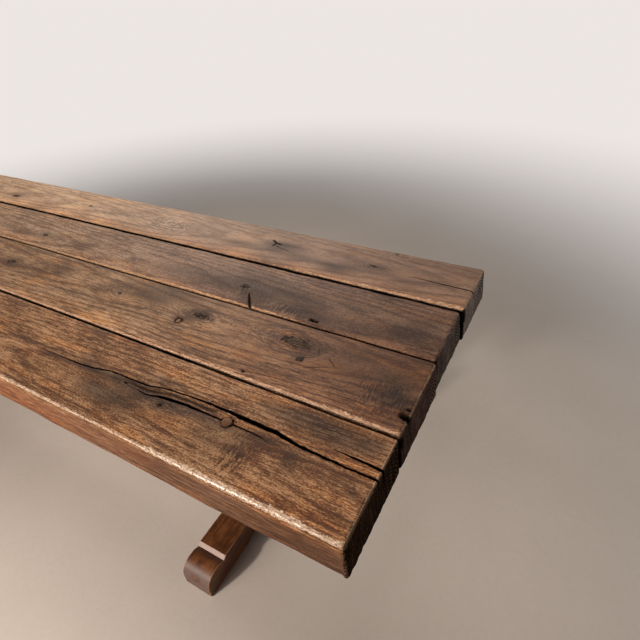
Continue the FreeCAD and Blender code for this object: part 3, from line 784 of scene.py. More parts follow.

# %% [markdown]
# ## Aged oak
# Old oak that has been brushed and waxed is a brown with three kinds of streak in it: growth rings a few
# millimetres apart, long fibres between them, and short dark pores. Rings come from the distance to a pith
# line that runs slightly askew through the plank, so they draw arches on the flat face and nearly straight
# lines at the sides. An image of wood would be simpler, but it would repeat, and it could not bend round
# these knots. The finish reads the grain coordinate and the notes left on the points.
#
# Each plank has a look of its own. Its pith lies so many millimetres across and below, and runs askew; ring
# is the spacing of its rings. Fine is the size of the small dashes. Speckle, fleck, smudge, dull and amber
# are the strengths of dashes, flecks, smudges, greyed parts and honey-coloured parts. Hatch and strokes draw
# the feathers, ragged and gloss the bare arrises, and rubbed has their colours. Tones run from dark to pale.
# Left and right are painted light and shade: they tint the face over the fade, paler towards the far left as
# a painted sheen, and lighter or darker towards the right end as the top is lit there. Strip tints the near
# edge, and ends tints the sawn right end, partly as painted light and shade.

# %% Looks of the planks
OAK = {
    "plank_far": {
        "pith": (96.0, 150.0, 0.03), "ring": 8.0, "fine": 1.0, "speckle": 1.0, "fleck": 0.15,
        "smudge": 0.9, "dull": 0.2, "ragged": 0.45, "hatch": 1.0, "ends": (4.8, 5.8, 6.9), "amber": 0.35,
        "gloss": 0.12, "strokes": 0.9, "fade": (2.35, 0.6), "strip": (1.12, 1.0, 0.88),
        "rubbed": ((0.41, 0.218, 0.112), (0.66, 0.42, 0.25)), "left": (2.05, 2.25, 2.2),
        "right": (0.82, 0.82, 0.83),
        "tones": ((0.11, 0.06, 0.036), (0.172, 0.095, 0.06), (0.255, 0.148, 0.095), (0.34, 0.205, 0.135)),
    },
    "plank_mid_far": {
        "pith": (60.0, 190.0, 0.022), "ring": 7.0, "fine": 1.1, "speckle": 2.0, "fleck": 0.4,
        "smudge": 0.8, "dull": 0.3, "ragged": 0.7, "hatch": 1.0, "ends": (2.9, 3.3, 3.8), "amber": 0.5,
        "gloss": 0.12, "strokes": 0.5, "fade": (2.4, 0.75), "strip": (1.08, 1.0, 0.92),
        "rubbed": ((0.42, 0.215, 0.1), (0.66, 0.41, 0.24)), "left": (2.15, 2.36, 2.2),
        "right": (0.95, 0.88, 0.78),
        "tones": ((0.035, 0.015, 0.007), (0.085, 0.042, 0.025), (0.14, 0.077, 0.05), (0.22, 0.13, 0.09)),
    },
    "plank_mid_near": {
        "pith": (150.0, 120.0, 0.026), "ring": 8.5, "fine": 1.1, "speckle": 1.2, "fleck": 0.2,
        "smudge": 1.0, "dull": 0.15, "ragged": 0.8, "hatch": 1.5, "ends": (3.4, 3.2, 3.6), "amber": 0.7,
        "gloss": 0.15, "strokes": 0.9, "fade": (2.5, 1.7), "strip": (1.26, 1.23, 1.2),
        "rubbed": ((0.4, 0.215, 0.12), (0.7, 0.47, 0.33)), "left": (1.1, 1.12, 1.1),
        "right": (0.7, 0.57, 0.5),
        "tones": ((0.05, 0.02, 0.007), (0.115, 0.056, 0.026), (0.195, 0.103, 0.052), (0.34, 0.2, 0.115)),
    },
    "plank_near": {
        "pith": (80.0, 170.0, -0.024), "ring": 8.0, "fine": 1.4, "speckle": 2.1, "fleck": 0.8,
        "smudge": 1.1, "dull": 0.1, "ragged": 1.0, "hatch": 1.0, "ends": (2.2, 2.0, 1.8), "amber": 0.7,
        "gloss": 0.8, "strokes": 0.9, "fade": (2.55, 2.25), "strip": (1.0, 1.0, 1.0),
        "rubbed": ((0.42, 0.26, 0.16), (0.74, 0.56, 0.42)), "left": (1.0, 1.01, 1.04),
        "right": (1.26, 1.22, 1.2),
        "tones": ((0.045, 0.014, 0.003), (0.112, 0.044, 0.013), (0.205, 0.094, 0.038), (0.38, 0.21, 0.105)),
    },
}
print({name: look["tones"][2] for name, look in OAK.items()})

# %% [markdown]
# Cracks of a millimetre or two are narrower than the grid can follow, so the finish draws them: each slash is
# a dark stroke along a line, made to waver by the same noise that curls the knots. On the bare arrises the
# colour comes from chips and crumbs of pale wood, which also carry a little gloss.

# %% Fine cracks
WAVER = 0.006


def slashed(oak, where, name, gnarl):
    """The fine cracks and voids of a plank, from 0 to 1, drawn as short wavering strokes."""
    x, y = oak.apart(where)[:2]
    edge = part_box(name)[0].y
    drawn = 0.0
    for slash in NOTES[name]["slashes"]:
        start = Vector((TOP_END - slash.from_end * MM, edge + slash.from_edge * MM))
        stop = Vector((TOP_END - slash.to_end * MM, edge + slash.to_edge * MM))
        run = (stop - start).normalized()
        length = (stop - start).length
        half = slash.half * MM
        along = x * run.x + y * run.y - start.dot(run)
        across = x * run.y - y * run.x - (start.x * run.y - start.y * run.x) + (gnarl - 0.5) * WAVER
        aside = oak.node("ShaderNodeMath", {"operation": "ABSOLUTE"}, {0: across})
        stroke = (1.0 - oak.ease(aside, half * 0.6, half * 1.1)) * oak.ease(along, -half, 0.0)
        stroke = stroke * (1.0 - oak.ease(along, length - half, length + half)) * slash.strength
        drawn = oak.node("ShaderNodeMath", {"operation": "MAXIMUM"}, {0: drawn, 1: stroke})
    return drawn


print({name: len(notes["slashes"]) for name, notes in NOTES.items()})

# %% Aged oak
SEED_SHIFT = 0.37
FACE_DEPTH = (-0.024, -0.012)
CRACK_AND_SHADE_BLACK = (0.006, 0.004, 0.003)
GREYED = (0.80, 0.90, 1.02)
HONEY = (1.30, 1.08, 0.74)
GRIME_AND_SHADE_TINT = (0.22, 0.23, 0.26)
STRIP_WIDTH = (0.010, 0.075)
# Painted light and shade on the sides: pinker towards the left end, darker towards the right.
SIDE_PAINTED_LIGHT_FADE = (2.4, 1.5)
SIDE_PAINTED_SHADE_RIGHT = (0.58, 0.54, 0.60)
SIDE_PAINTED_LIGHT_LEFT = (1.06, 0.87, 0.90)
KNOT_TONES = [(0.42, (0.016, 0.011, 0.008)), (0.52, (0.060, 0.042, 0.030)), (0.64, (0.135, 0.092, 0.064))]
KNOT_CURLS = (0.009, 0.006, 0.004)
BARE_DARK = (0.09, 0.036, 0.014)
BARE_END = (0.36, 0.20, 0.105)


def aged_oak(name):
    """The waxed face and sides of one plank."""
    look = OAK[name]
    oak = Finish(f"aged_oak_{name}")
    here = oak.read("grain", "Vector")
    grain = oak.shift(here, (HEWN[name]["seed"] * SEED_SHIFT, 0.0, 0.0))
    knot = oak.read("knot")
    worn = oak.read("worn")
    grime = oak.read("grime")
    hollow = oak.read("hollow")
    feather = oak.read("feather")
    along, across, deep = oak.apart(here)
    face = oak.ease(deep, *FACE_DEPTH)
    on_face = face * 0.7 + 0.3

    # Streaks along the grain, from broad drifts down to pores, and the growth rings.
    drift = oak.cloud(grain, (1.5, 5.0, 5.0), 2.0)
    patches = oak.cloud(grain, (4.0, 13.0, 13.0), 3.0, 0.55)
    smudges = oak.cloud(grain, (9.0, 22.0, 22.0), 3.0, 0.55)
    strands = oak.cloud(grain, (6.0, 140.0, 140.0), 3.0, 0.6)
    fibres = oak.cloud(grain, (30.0, 400.0, 400.0), 2.0, 0.6)
    dashes = oak.cloud(grain, tuple(look["fine"] * scale for scale in (120.0, 420.0, 420.0)), 2.0, 0.55)
    flecks = oak.cloud(grain, (34.0, 170.0, 170.0), 1.0, 0.5)
    pores = oak.ease(oak.cloud(grain, (70.0, 800.0, 800.0), 2.0, 0.6), 0.56, 0.68)
    pith_across, pith_deep, askew = look["pith"]
    sideways = across - pith_across * MM + (drift - 0.5) * 0.05
    below = deep + pith_deep * MM + along * askew
    radius = (sideways ** 2.0 + below ** 2.0) ** 0.5 + (patches - 0.5) * 0.012
    ring = oak.wave(radius * (2.0 * math.pi / (look["ring"] * MM))) ** 3.0

    # Knots with their swirls, fine cracks, and the hatching of the feathers.
    where = oak.place()
    gnarl = oak.cloud(where, (38.0, 70.0, 70.0), 3.0, 0.6)
    burl = oak.cloud(where, (120.0, 170.0, 170.0), 3.0, 0.65)
    twisted = knot + (gnarl - 0.5) * 1.5
    core = 1.0 - oak.ease(twisted + (burl - 0.5) * 1.4, 0.78, 1.08)
    void = slashed(oak, where, name, gnarl) * face
    swirl = oak.wave(twisted * 11.0) ** 4.0 * (1.0 - oak.ease(knot, 1.6, 4.2))
    hatch_scale = tuple(look["hatch"] * scale for scale in (210.0, 40.0, 40.0))
    hatch = oak.cloud(where, hatch_scale, 2.0, 0.5, 0.8)
    feathered = feather * ((oak.ease(hatch, 0.36, 0.60) - look["strokes"]) * oak.ease(gnarl, 0.35, 0.6))

    # All of it in one level, which picks the tone.
    level = (ring - 0.3) * (face * -0.22 - 0.10) + (strands - 0.5) * 1.35
    level = level + (fibres - 0.5) * 1.9 + (patches - 0.5) * 1.0
    level = level + ((dashes - 0.5) * look["speckle"] + (smudges - 0.5) * look["smudge"]) * on_face
    level = level + (flecks - 0.5) * look["fleck"] * on_face + feathered * 1.9
    level = level - pores * 0.24 - swirl * 0.30 + 0.5
    dark, low_brown, brown, pale = look["tones"]
    colour = oak.ramp(level, [(0.0, dark), (0.36, low_brown), (0.62, brown), (1.0, pale)])

    # Painted light and shade over the length of the top and on the sides, then grime with some painted shade,
    # knots and cracks.
    greyed = oak.ease(oak.cloud(grain, (2.2, 9.0, 9.0), 3.0, 0.6), 0.45, 0.75) * look["dull"]
    colour = oak.mix(greyed, colour, oak.tint(colour, GREYED))
    amber = oak.ease(oak.cloud(grain, (6.0, 24.0, 24.0), 2.0), 0.46, 0.70) * look["amber"]
    colour = oak.mix(amber, colour, oak.tint(colour, HONEY))
    # Painted light and shade: the face is paler towards the far left, as a sheen, and lighter or darker
    # towards the right end, as the top is lit.
    face_painted_light = oak.mix(oak.ease(along, *look["fade"]), look["right"], look["left"])
    strip = 1.0 - oak.ease(across, *STRIP_WIDTH)
    face_painted_light = oak.mix(strip, face_painted_light, oak.tint(face_painted_light, look["strip"]))
    # Painted light and shade along the sides.
    side_painted_light = oak.mix(oak.ease(along, *SIDE_PAINTED_LIGHT_FADE), SIDE_PAINTED_SHADE_RIGHT, SIDE_PAINTED_LIGHT_LEFT)
    colour = oak.tint(colour, oak.mix(face, side_painted_light, face_painted_light))
    # Grime, together with the painted shade of the sunk strip and along the splits, darkens and greys the
    # wood.
    dirt_and_shade = oak.ease(grime + (strands - 0.5) * 0.9 + (fibres - 0.5) * 1.2, 0.10, 0.95)
    colour = oak.mix(dirt_and_shade * 0.9, colour, oak.tint(colour, GRIME_AND_SHADE_TINT))
    knot_tone = oak.ramp(burl * 0.7 + fibres * 0.3, KNOT_TONES)
    curls = oak.wave((knot + gnarl * 1.6) * 13.0) ** 2.0
    colour = oak.mix(core * 0.85, colour, oak.mix(curls * 0.75, knot_tone, KNOT_CURLS))
    colour = oak.mix(void, colour, CRACK_AND_SHADE_BLACK)

    # Bare wood on the arrises, and painted shade, near black, inside splits, holes and gaps.
    chips = oak.cloud(grain, (80.0, 190.0, 190.0), 3.0, 0.7)
    crumbs = oak.cloud(grain, (190.0, 380.0, 380.0), 2.0, 0.6)
    bare = oak.ease(worn + (chips * 1.6 + crumbs * 1.4 - 1.5) * look["ragged"], 0.40, 0.72)
    bare_brown, bare_pale = look["rubbed"]
    bare_stops = [(0.36, BARE_DARK), (0.50, bare_brown), (0.66, bare_pale)]
    bare_tone = oak.ramp(chips * 0.5 + crumbs * 0.5, bare_stops)
    bare_tone = oak.mix(oak.read("cut"), bare_tone, BARE_END)
    colour = oak.mix(bare * 0.92, colour, bare_tone)
    colour = oak.mix(hollow, colour, CRACK_AND_SHADE_BLACK)

    roughness = 0.58 + (strands - 0.5) * 0.3 + (hollow + core + void) * 0.4 + dirt_and_shade * 0.08 - bare * 0.2
    height = strands * 0.4 + fibres * 0.5 + dashes * 0.4 - pores * 0.3 + ring * -0.2
    height = height - void * 1.5 + feathered * 0.5 + core * burl * 1.2
    height = height + bare * (chips * 0.9 + crumbs * 1.5)
    gloss = bare * oak.ease(crumbs, 0.40, 0.56) * look["gloss"]
    oak.wear(Base_Color=colour, Roughness=roughness, Normal=oak.bump(height, 0.0012, 0.9),
             Specular_IOR_Level=0.18, Coat_Weight=gloss, Coat_Roughness=0.28)
    return oak.material


print("aged oak ready")

# %% Sawn ends
END_BLACK_AND_SHADE = (0.007, 0.005, 0.004)
END_TONES = [(0.1, END_BLACK_AND_SHADE), (0.5, (0.021, 0.013, 0.009)), (0.9, (0.062, 0.038, 0.026))]
END_RIM = (0.34, 0.20, 0.115)
LEFT_END_TINT = (3.0, 2.8, 2.6)
END_FADE = (1.2, 1.4)


def oak_ends(name):
    """The sawn, near-black end of one plank, tinted per plank partly as painted light and shade, and the
    painted shade inside its splits.
    """
    look = OAK[name]
    ends = Finish(f"oak_ends_{name}")
    grain = ends.read("grain", "Vector")
    hollow = ends.read("hollow")
    worn = ends.read("worn")
    cut = ends.read("cut")
    along, across, deep = ends.apart(grain)
    pith_across, pith_deep = look["pith"][:2]
    wander = ends.cloud(grain, (9.0, 9.0, 9.0), 3.0, 0.6)
    radius = ((across - pith_across * MM) ** 2.0 + (deep + pith_deep * MM) ** 2.0) ** 0.5 + wander * 0.02
    ring = ends.wave(radius * (2.0 * math.pi / (look["ring"] * MM)))
    grit = ends.cloud(grain, (300.0, 260.0, 110.0), 3.0, 0.65)
    saw = ends.cloud(grain, (40.0, 320.0, 14.0), 2.0, 0.6)
    level = 0.5 + (ring - 0.5) * 0.4 + (grit - 0.5) * 1.3 + (saw - 0.5) * 1.4 + (wander - 0.5) * 0.9
    # Painted light and shade: the right ends are tinted per plank, the far plank's end paler and the near
    # plank's darker, as each is lit; the left end gets a middle tint.
    end_tint = ends.mix(ends.ease(along, *END_FADE), LEFT_END_TINT, look["ends"])
    colour = ends.tint(ends.ramp(level, END_TONES), end_tint)
    rim = ends.ease(worn + (grit - 0.5) * 0.8, 0.25, 0.7) * (1.0 - cut * 0.55)
    colour = ends.mix(rim, colour, END_RIM)
    # Painted shade inside the splits.
    colour = ends.mix(hollow, colour, END_BLACK_AND_SHADE)
    height = grit * 0.6 + saw * 0.6 + ring * 0.25
    ends.wear(Base_Color=colour, Roughness=0.78 + (grit - 0.5) * 0.2, Normal=ends.bump(height, 0.002, 0.9),
              Specular_IOR_Level=0.0)
    return ends.material


print("sawn ends ready")

# %% Lay the planks
def settle(name, bm, finishes, nodes, body="table"):
    """Turn a bmesh into a finished piece that rides on a body and stands for its nodes."""
    mesh = bpy.data.meshes.new(name)
    bm.to_mesh(mesh)
    bm.free()
    for finish in finishes:
        mesh.materials.append(finish)
    mesh.shade_smooth()
    piece = bpy.data.objects.new(name, mesh)
    scene.collection.objects.link(piece)
    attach(piece, body)
    if nodes:
        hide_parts(*nodes)
    triangles = sum(len(face.vertices) - 2 for face in mesh.polygons)
    print(f"{name}: {len(mesh.vertices)} points, {triangles} triangles")
    return piece


LAID = {}
for plank in NOTES:
    shaped = hewn_plank(plank)
    sawn = shaped.verts.layers.float["cut"]
    hollow = shaped.verts.layers.float["hollow"]
    # Faces deep in painted shade take the end finish, which also paints them near black.
    for face in shaped.faces:
        if min(max(vert[sawn], vert[hollow]) for vert in face.verts) > 0.5:
            face.material_index = 1
    finishes = [aged_oak(plank), oak_ends(plank)]
    LAID[plank] = settle(f"{plank}_hewn", shaped, finishes, [plank])

# %% [markdown]
# ## The treenails
# Two round oak pegs show in the top, one in the second split of the near plank and one, sunk a little, in the
# plank behind it. A cylinder would look turned, and these were split and shaved with a knife, so each starts
# as a cone with few sides whose corners are moved by noise, and its ends are bevelled, inset and raised. Both
# are thinner than their holes, which leaves a ring round them that the plank's finish paints near black as
# shade. A small square plug in the mid near plank is a cube with softened edges, turned a little askew and
# set as high as the plank is there.

# %% Peg oak
PEG_TONES = [(0.1, (0.030, 0.013, 0.006)), (0.5, (0.120, 0.052, 0.024)), (0.9, (0.24, 0.12, 0.06))]


def peg_oak(name, tint):
    """Shaved oak: end grain on the face of the peg, long fibres down its side."""
    peg = Finish(name)
    where = peg.place()
    grit = peg.cloud(where, (420.0, 420.0, 160.0), 3.0, 0.6)
    cloudy = peg.cloud(where, (70.0, 70.0, 70.0), 3.0, 0.6)
    level = 0.5 + (grit - 0.5) * 1.3 + (cloudy - 0.5) * 1.1
    peg.wear(Base_Color=peg.tint(peg.ramp(level, PEG_TONES), tint), Roughness=0.5 + (grit - 0.5) * 0.3,
             Normal=peg.bump(grit + cloudy * 0.5, 0.0012, 0.8), Specular_IOR_Level=0.08)
    return peg.material


PEG_OAK = peg_oak("peg_oak", (0.85, 0.85, 0.85))
PALE_PEG_OAK = peg_oak("pale_peg_oak", (1.0, 1.2, 1.3))
DARK_PEG_OAK = peg_oak("dark_peg_oak", (0.16, 0.16, 0.16))
print("three tints of peg oak")

# %% Round pegs
PEG_SOFTENING = 1.3
PEG_TAPER = 0.97
PEG_SHAVING = 0.10
PEG_RISE = 0.5
TREENAIL_FIT = 0.9
TREENAIL_PROUD = 1.2
PLUG_FIT = 0.62
PLUG_PROUD = -1.6


def bevel(bm, geom, offset, segments, affect="EDGES"):
    """Round over edges or corners by an offset in millimetres; gives the new faces."""
    made = bmesh.ops.bevel(bm, geom=geom, offset=offset * MM, offset_type="OFFSET", segments=segments,
                           profile=0.5, affect=affect, material=-1)
    return made["faces"]


def end_rims(bm, axis):
    """The edges round the faces that look along an axis."""
    return [edge for edge in bm.edges if any(abs(face.normal[axis]) > 0.9 for face in edge.link_faces)]


def shaved_peg(low, high, radius, sides, proud, seed):
    """An upright peg as long as its box, with shaved sides and slightly raised, softened ends."""
    bm = bmesh.new()
    bottom, top = low.z - proud, high.z + proud
    middle = (low + high) / 2.0
    bmesh.ops.create_cone(bm, cap_ends=True, cap_tris=False, segments=sides, radius1=radius * PEG_TAPER,
                          radius2=radius, depth=top - bottom)
    bmesh.ops.translate(bm, verts=bm.verts, vec=(middle.x, middle.y, (top + bottom) / 2.0))
    for vert in bm.verts:
        away = Vector((vert.co.x - middle.x, vert.co.y - middle.y, 0.0))
        vert.co += away * PEG_SHAVING * ripple(away.x * 190.0, away.y * 190.0, seed)
    bevel(bm, end_rims(bm, 2), PEG_SOFTENING, 3)
    ends = [face for face in bm.faces if abs(face.normal.z) > 0.99 and len(face.verts) >= sides]
    for share in (0.35, 0.5):
        bmesh.ops.inset_region(bm, faces=ends, thickness=radius * share * 0.6, depth=PEG_RISE * MM)
    return bm


near_low, near_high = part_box("treenail_near")
peg_radius = (near_high.x - near_low.x) / 2.0
treenail = shaved_peg(near_low, near_high, peg_radius * TREENAIL_FIT, sides=15,
                      proud=TREENAIL_PROUD * MM, seed=3.0)
settle("treenail_near_shaved", treenail, [PEG_OAK], ["treenail_near"])
plug_low, plug_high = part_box("plug_mid_near")
plug = shaved_peg(plug_low, plug_high, peg_radius * PLUG_FIT, sides=13,
                  proud=PLUG_PROUD * MM, seed=8.0)
settle("plug_mid_near_shaved", plug, [PALE_PEG_OAK], ["plug_mid_near"])

# %% Square plug
SQUARE_PLACE = (286.0, 108.0)
SQUARE_SIZE = (18.0, 14.0, 10.0)
SQUARE_SOFTENING = 0.8
SQUARE_PROUD = 0.8
SQUARE_ASKEW = 0.2


def square_plug():
    """A small square plug let into the mid near plank, a little askew and as high as the plank is there."""
    from_end, from_edge = SQUARE_PLACE
    place = Vector((TOP_END - from_end * MM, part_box("plank_mid_near")[0].y + from_edge * MM, TOP_LEVEL))
    surface = LAID["plank_mid_near"].closest_point_on_mesh(place)[1]
    place.z = surface.z + (SQUARE_PROUD - SQUARE_SIZE[2] / 2.0) * MM
    bm = bmesh.new()
    bmesh.ops.create_cube(bm, size=1.0)
    bmesh.ops.scale(bm, verts=bm.verts, vec=Vector(SQUARE_SIZE) * MM)
    bevel(bm, bm.edges[:], SQUARE_SOFTENING, 2)
    turned = Matrix.Rotation(SQUARE_ASKEW, 3, "Z")
    bmesh.ops.rotate(bm, verts=bm.verts, cent=(0.0, 0.0, 0.0), matrix=turned)
    bmesh.ops.translate(bm, verts=bm.verts, vec=place)
    return bm


settle("square_plug_mid_near", square_plug(), [DARK_PEG_OAK], [])

# %% [markdown]
# ## The stained base
# The base is of newer oak, stained dark and lacquered, so its grain is quiet and its edges shine. It needs
# the same fibres as the planks, laid along each member, under a thin clear coat. Wear comes from a number on
# the bevelled faces: there the stain has rubbed off to a lighter brown. On the quirk faces of the toes the
# number is higher, which paints a pale pinkish highlight there. A second number marks the faces of the toes
# that shoes have left dusty; their pale greyish tone is also a painted sheen.

# %% Stained oak
LENGTHWISE = {"x": (1.0, 18.0, 18.0), "y": (18.0, 1.0, 18.0), "z": (18.0, 18.0, 1.0)}
STAIN_TONES = [(0.1, (0.018, 0.007, 0.003)), (0.45, (0.072, 0.021, 0.005)), (0.7, (0.150, 0.050, 0.013)),
               (1.0, (0.22, 0.095, 0.036))]
DUST_AND_SHEEN = (0.110, 0.080, 0.070)
RUBBED_STAIN = (0.34, 0.17, 0.085)
QUIRK_PAINTED_HIGHLIGHT = (0.46, 0.32, 0.27)


def stained_oak(axis):
    """Lacquered oak with its grain along one axis."""
    oak = Finish(f"stained_oak_{axis}")
    where = oak.place()
    worn = oak.read("worn")
    lay = LENGTHWISE[axis]
    strands = oak.cloud(where, tuple(6.0 * s for s in lay), 3.0, 0.6)
    fibres = oak.cloud(where, tuple(22.0 * s for s in lay), 3.0, 0.65)
    cloudy = oak.cloud(where, (7.0, 7.0, 7.0), 3.0, 0.6)
    mottle = oak.cloud(where, (26.0, 26.0, 26.0), 4.0, 0.65)
    level = 0.5 + (strands - 0.5) * 0.7 + (fibres - 0.5) * 0.8 + (cloudy - 0.5) * 0.8 + (mottle - 0.5) * 0.9
    colour = oak.ramp(level, STAIN_TONES)
    scuffs = oak.cloud(where, (55.0, 55.0, 55.0), 3.0, 0.6)
    # Dust and painted sheen: the toe fronts turn pale greyish, for dust and for their satin reflection.
    dust_and_sheen = oak.read("dusty") * oak.ease(scuffs * 0.5 + mottle * 0.5, 0.30, 0.62)
    colour = oak.mix(dust_and_sheen * 0.8, colour, DUST_AND_SHEEN)
    rub = oak.ease(worn + (strands - 0.5) * 1.2 + (cloudy - 0.5) * 1.0, 0.45, 0.95)
    # Painted highlight: past the usual wear, the quirk faces turn pale pinkish.
    rubbed_tone_and_highlight = oak.mix(oak.ease(worn, 0.85, 1.05), RUBBED_STAIN, QUIRK_PAINTED_HIGHLIGHT)
    colour = oak.mix(rub * 0.75, colour, rubbed_tone_and_highlight)
    height = strands * 0.5 + fibres * 0.3 + scuffs * 0.5
    oak.wear(Base_Color=colour, Roughness=0.50 + (cloudy - 0.5) * 0.25 + (mottle - 0.5) * 0.3,
             Normal=oak.bump(height, 0.0008, 0.8), Specular_IOR_Level=0.3, Coat_Weight=0.1,
             Coat_Roughness=0.4)
    return oak.material


STAINED = {axis: stained_oak(axis) for axis in LENGTHWISE}
print("stained oak along x, y and z")

# %% [markdown]
# ## The feet
# Each foot is a sledge: flat pads at its ends, a relieved middle, and toes rounded over behind a small quirk.
# The outline is drawn once as a face, its corners are rounded with a vertex bevel, the face is extruded to
# the width of the foot, and the long edges are softened. Points of the outline are measured back from the
# tip and up from the floor.

# %% Sledge feet
FOOT_LEVEL = 90.0
PAD = 190.0
RELIEF = (202.0, 12.0)
CREST = 62.0
QUIRK = (82.0, 79.0)
SHELF = 93.0
TOE_RADIUS = 46.0
CREST_SOFTENING = 7.7
TIP_SOFTENING = 5.0
FOOT_SOFTENING = 3.0
FOOT_WEAR = 0.8
QUIRK_WEAR_AND_HIGHLIGHT = 1.1
FOOT_OUTLINE = [RELIEF, (PAD, 0.0), (0.0, 0.0), (0.0, FOOT_LEVEL), (CREST, FOOT_LEVEL), QUIRK,
                (SHELF, FOOT_LEVEL)]
FOOT_CORNERS = [(0.0, FOOT_LEVEL, TOE_RADIUS, 14), (CREST, FOOT_LEVEL, CREST_SOFTENING, 5),
                (0.0, 0.0, TIP_SOFTENING, 3)]
HAIR = 0.1 * MM
CREASE_ANGLE = math.radians(28.0)


def crease(bm):
    """Keep the edges that are still sharp from being shaded as if they were round."""
    for edge in bm.edges:
        edge.smooth = edge.calc_face_angle(0.0) < CREASE_ANGLE


def sledge_foot(node):
    """One foot from its outline, with notes of its worn faces and of its dusty toes, whose tone is partly a
    painted sheen.
    """
    low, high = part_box(node)
    middle = (low.y + high.y) / 2.0
    reach = (high.y - low.y) / 2.0
    half = [(reach - back * MM, up * MM) for back, up in FOOT_OUTLINE]
    bm = bmesh.new()
    worn = bm.faces.layers.float.new("worn")
    dusty = bm.faces.layers.float.new("dusty")
    outline = half + [(-y, z) for y, z in reversed(half)]
    bm.faces.new([bm.verts.new((low.x, middle + y, low.z + z)) for y, z in outline])
    for back, up, amount, steps in FOOT_CORNERS:
        corners = [vert for vert in bm.verts if abs(abs(vert.co.y - middle) - reach + back * MM) < HAIR
                   and abs(vert.co.z - low.z - up * MM) < HAIR]
        bevel(bm, corners, amount, steps, "VERTICES")
    pulled = bmesh.ops.extrude_face_region(bm, geom=bm.faces[:])
    moved = [item for item in pulled["geom"] if isinstance(item, bmesh.types.BMVert)]
    bmesh.ops.translate(bm, verts=moved, vec=(high.x - low.x, 0.0, 0.0))
    bmesh.ops.recalc_face_normals(bm, faces=bm.faces)
    rims = [edge for edge in bm.edges if abs(edge.verts[0].co.x - edge.verts[1].co.x) < 1e-6]
    for face in bevel(bm, rims, FOOT_SOFTENING, 3):
        face[worn] = FOOT_WEAR
    for face in bm.faces:
        centre = face.calc_center_median() - Vector((0.0, middle, low.z))
        back = (reach - abs(centre.y)) / MM
        # Toe faces that look forward are marked for dust and painted sheen.
        if back < CREST:
            face[dusty] = ease(0.2, 0.8, abs(face.normal.y))
        # The quirk faces get more than full wear, which paints their highlight.
        if QUIRK[0] < back < SHELF and face.normal.z > 0.1 and centre.z > QUIRK[1] * MM:
            face[worn] = QUIRK_WEAR_AND_HIGHLIGHT
    crease(bm)
    return bm


def even_light(piece):
    """Let the broad faces decide the shading next to small bevels."""
    weigh = piece.modifiers.new("even_light", "WEIGHTED_NORMAL")
    weigh.keep_sharp = True
    weigh.weight = 80


for side in ("left", "right"):
    node = f"{side}_foot"
    even_light(settle(f"{node}_sledge", sledge_foot(node), [STAINED["y"]], [node]))

# %% [markdown]
# ## Posts, bearers, stretcher and wedges
# These members have the right shape in the construction model, with mortises, chamfers and slots, but their
# edges are as sharp as a drawing. A Bevel modifier on the node would soften every hole as well. Instead a
# copy of each mesh is merged, its flat faces are joined, and only the long sharp edges are bevelled.

# %% Softened members
LONG_EDGE = 15.0
SHARP_ANGLE = math.radians(25.0)
MEMBER_WEAR = 0.7


def softened(node, offset):
    """A copy of a node's mesh with its long sharp edges rounded over and marked as worn."""
    bm = bmesh.new()
    bm.from_mesh(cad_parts[node].data)
    worn = bm.faces.layers.float.new("worn")
    bmesh.ops.remove_doubles(bm, verts=bm.verts, dist=1e-5)
    bmesh.ops.dissolve_limit(bm, angle_limit=math.radians(1.0), verts=bm.verts, edges=bm.edges)
    sharp = [edge for edge in bm.edges if edge.calc_length() > LONG_EDGE * MM and len(edge.link_faces) == 2
             and edge.calc_face_angle_signed() > SHARP_ANGLE]
    for face in bevel(bm, sharp, offset, 3):
        face[worn] = MEMBER_WEAR
    crease(bm)
    return bm


MEMBERS = {
    "left_post": ("z", 2.5, "table"), "right_post": ("z", 2.5, "table"),
    "left_bearer": ("y", 2.5, "table"), "right_bearer": ("y", 2.5, "table"),
    "stretcher": ("x", 2.0, "table"),
    "left_key_wedge": ("z", 1.5, "left_key"), "right_key_wedge": ("z", 1.5, "right_key"),
}
for node, (axis, offset, body) in MEMBERS.items():
    member = settle(f"{node}_softened", softened(node, offset), [STAINED[axis]], [node], body)
    even_light(member)

# %% [markdown]
# ## Drawbore pegs
# Two pegs lock each post to its foot and to its bearer. They run right through, and their ends stand a few
# millimetres proud, cut with a knife. Each is a ten-sided cone lying on its side, with softened ends.

# %% Drawbore pegs
DRAWBORE_SOFTENING = 1.6
DRAWBORE_SIDES = 10
DRAWBORE_TAPER = 0.96


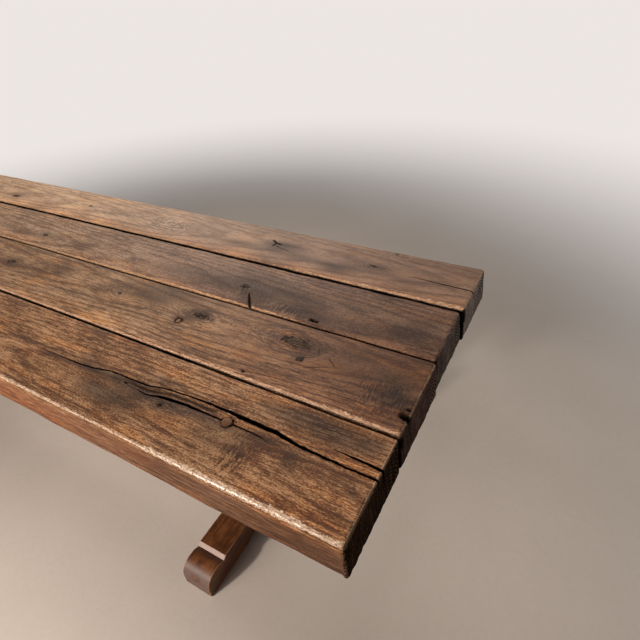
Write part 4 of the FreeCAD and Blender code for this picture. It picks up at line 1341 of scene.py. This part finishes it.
def lying_pegs(node):
    """The two pegs of one joint, end to end of the node's box."""
    low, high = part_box(node)
    radius = (high.z - low.z) / 2.0
    bm = bmesh.new()
    lying = Matrix.Rotation(math.pi / 2.0, 3, "Y")
    for across in (low.y + radius, high.y - radius):
        before = set(bm.verts)
        bmesh.ops.create_cone(bm, cap_ends=True, segments=DRAWBORE_SIDES, radius1=radius,
                              radius2=radius * DRAWBORE_TAPER, depth=high.x - low.x)
        fresh = [vert for vert in bm.verts if vert not in before]
        bmesh.ops.rotate(bm, verts=fresh, cent=(0.0, 0.0, 0.0), matrix=lying)
        bmesh.ops.translate(bm, verts=fresh, vec=((low.x + high.x) / 2.0, across, (low.z + high.z) / 2.0))
    bevel(bm, end_rims(bm, 0), DRAWBORE_SOFTENING, 2)
    return bm


for side in ("left", "right"):
    for joint in ("foot", "bearer"):
        node = f"{side}_{joint}_pegs"
        even_light(settle(f"{node}_shaved", lying_pegs(node), [PEG_OAK], [node]))

# %% [markdown]
# ## Coach screws and washers
# The screws and washers sit in counterbores under the bearers. Their shape is right as it is, so the nodes
# stay and only get a finish: zinc plate, which is a dull grey metal with cloudy patches and fine scratches.

# %% Zinc plate
def zinc_plate():
    """Dull zinc plating on steel."""
    zinc = Finish("zinc_plate")
    where = zinc.place()
    spangle = zinc.cloud(where, (260.0, 260.0, 260.0), 3.0, 0.6)
    scratches = zinc.cloud(where, (900.0, 120.0, 900.0), 2.0, 0.6)
    level = spangle * 0.7 + scratches * 0.3
    colour = zinc.ramp(level, [(0.3, (0.30, 0.30, 0.31)), (0.7, (0.56, 0.56, 0.55))])
    zinc.wear(Base_Color=colour, Roughness=0.30 + spangle * 0.3, Metallic=1.0,
              Normal=zinc.bump(level, 0.0003, 0.5))
    return zinc.material


ZINC = zinc_plate()
for node in ("left_coach_screws", "right_coach_screws", "left_washers", "right_washers"):
    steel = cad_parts[node].data.materials
    for index in range(len(steel)):
        steel[index] = ZINC
    print(f"{node}: {len(steel)} material slots in zinc")
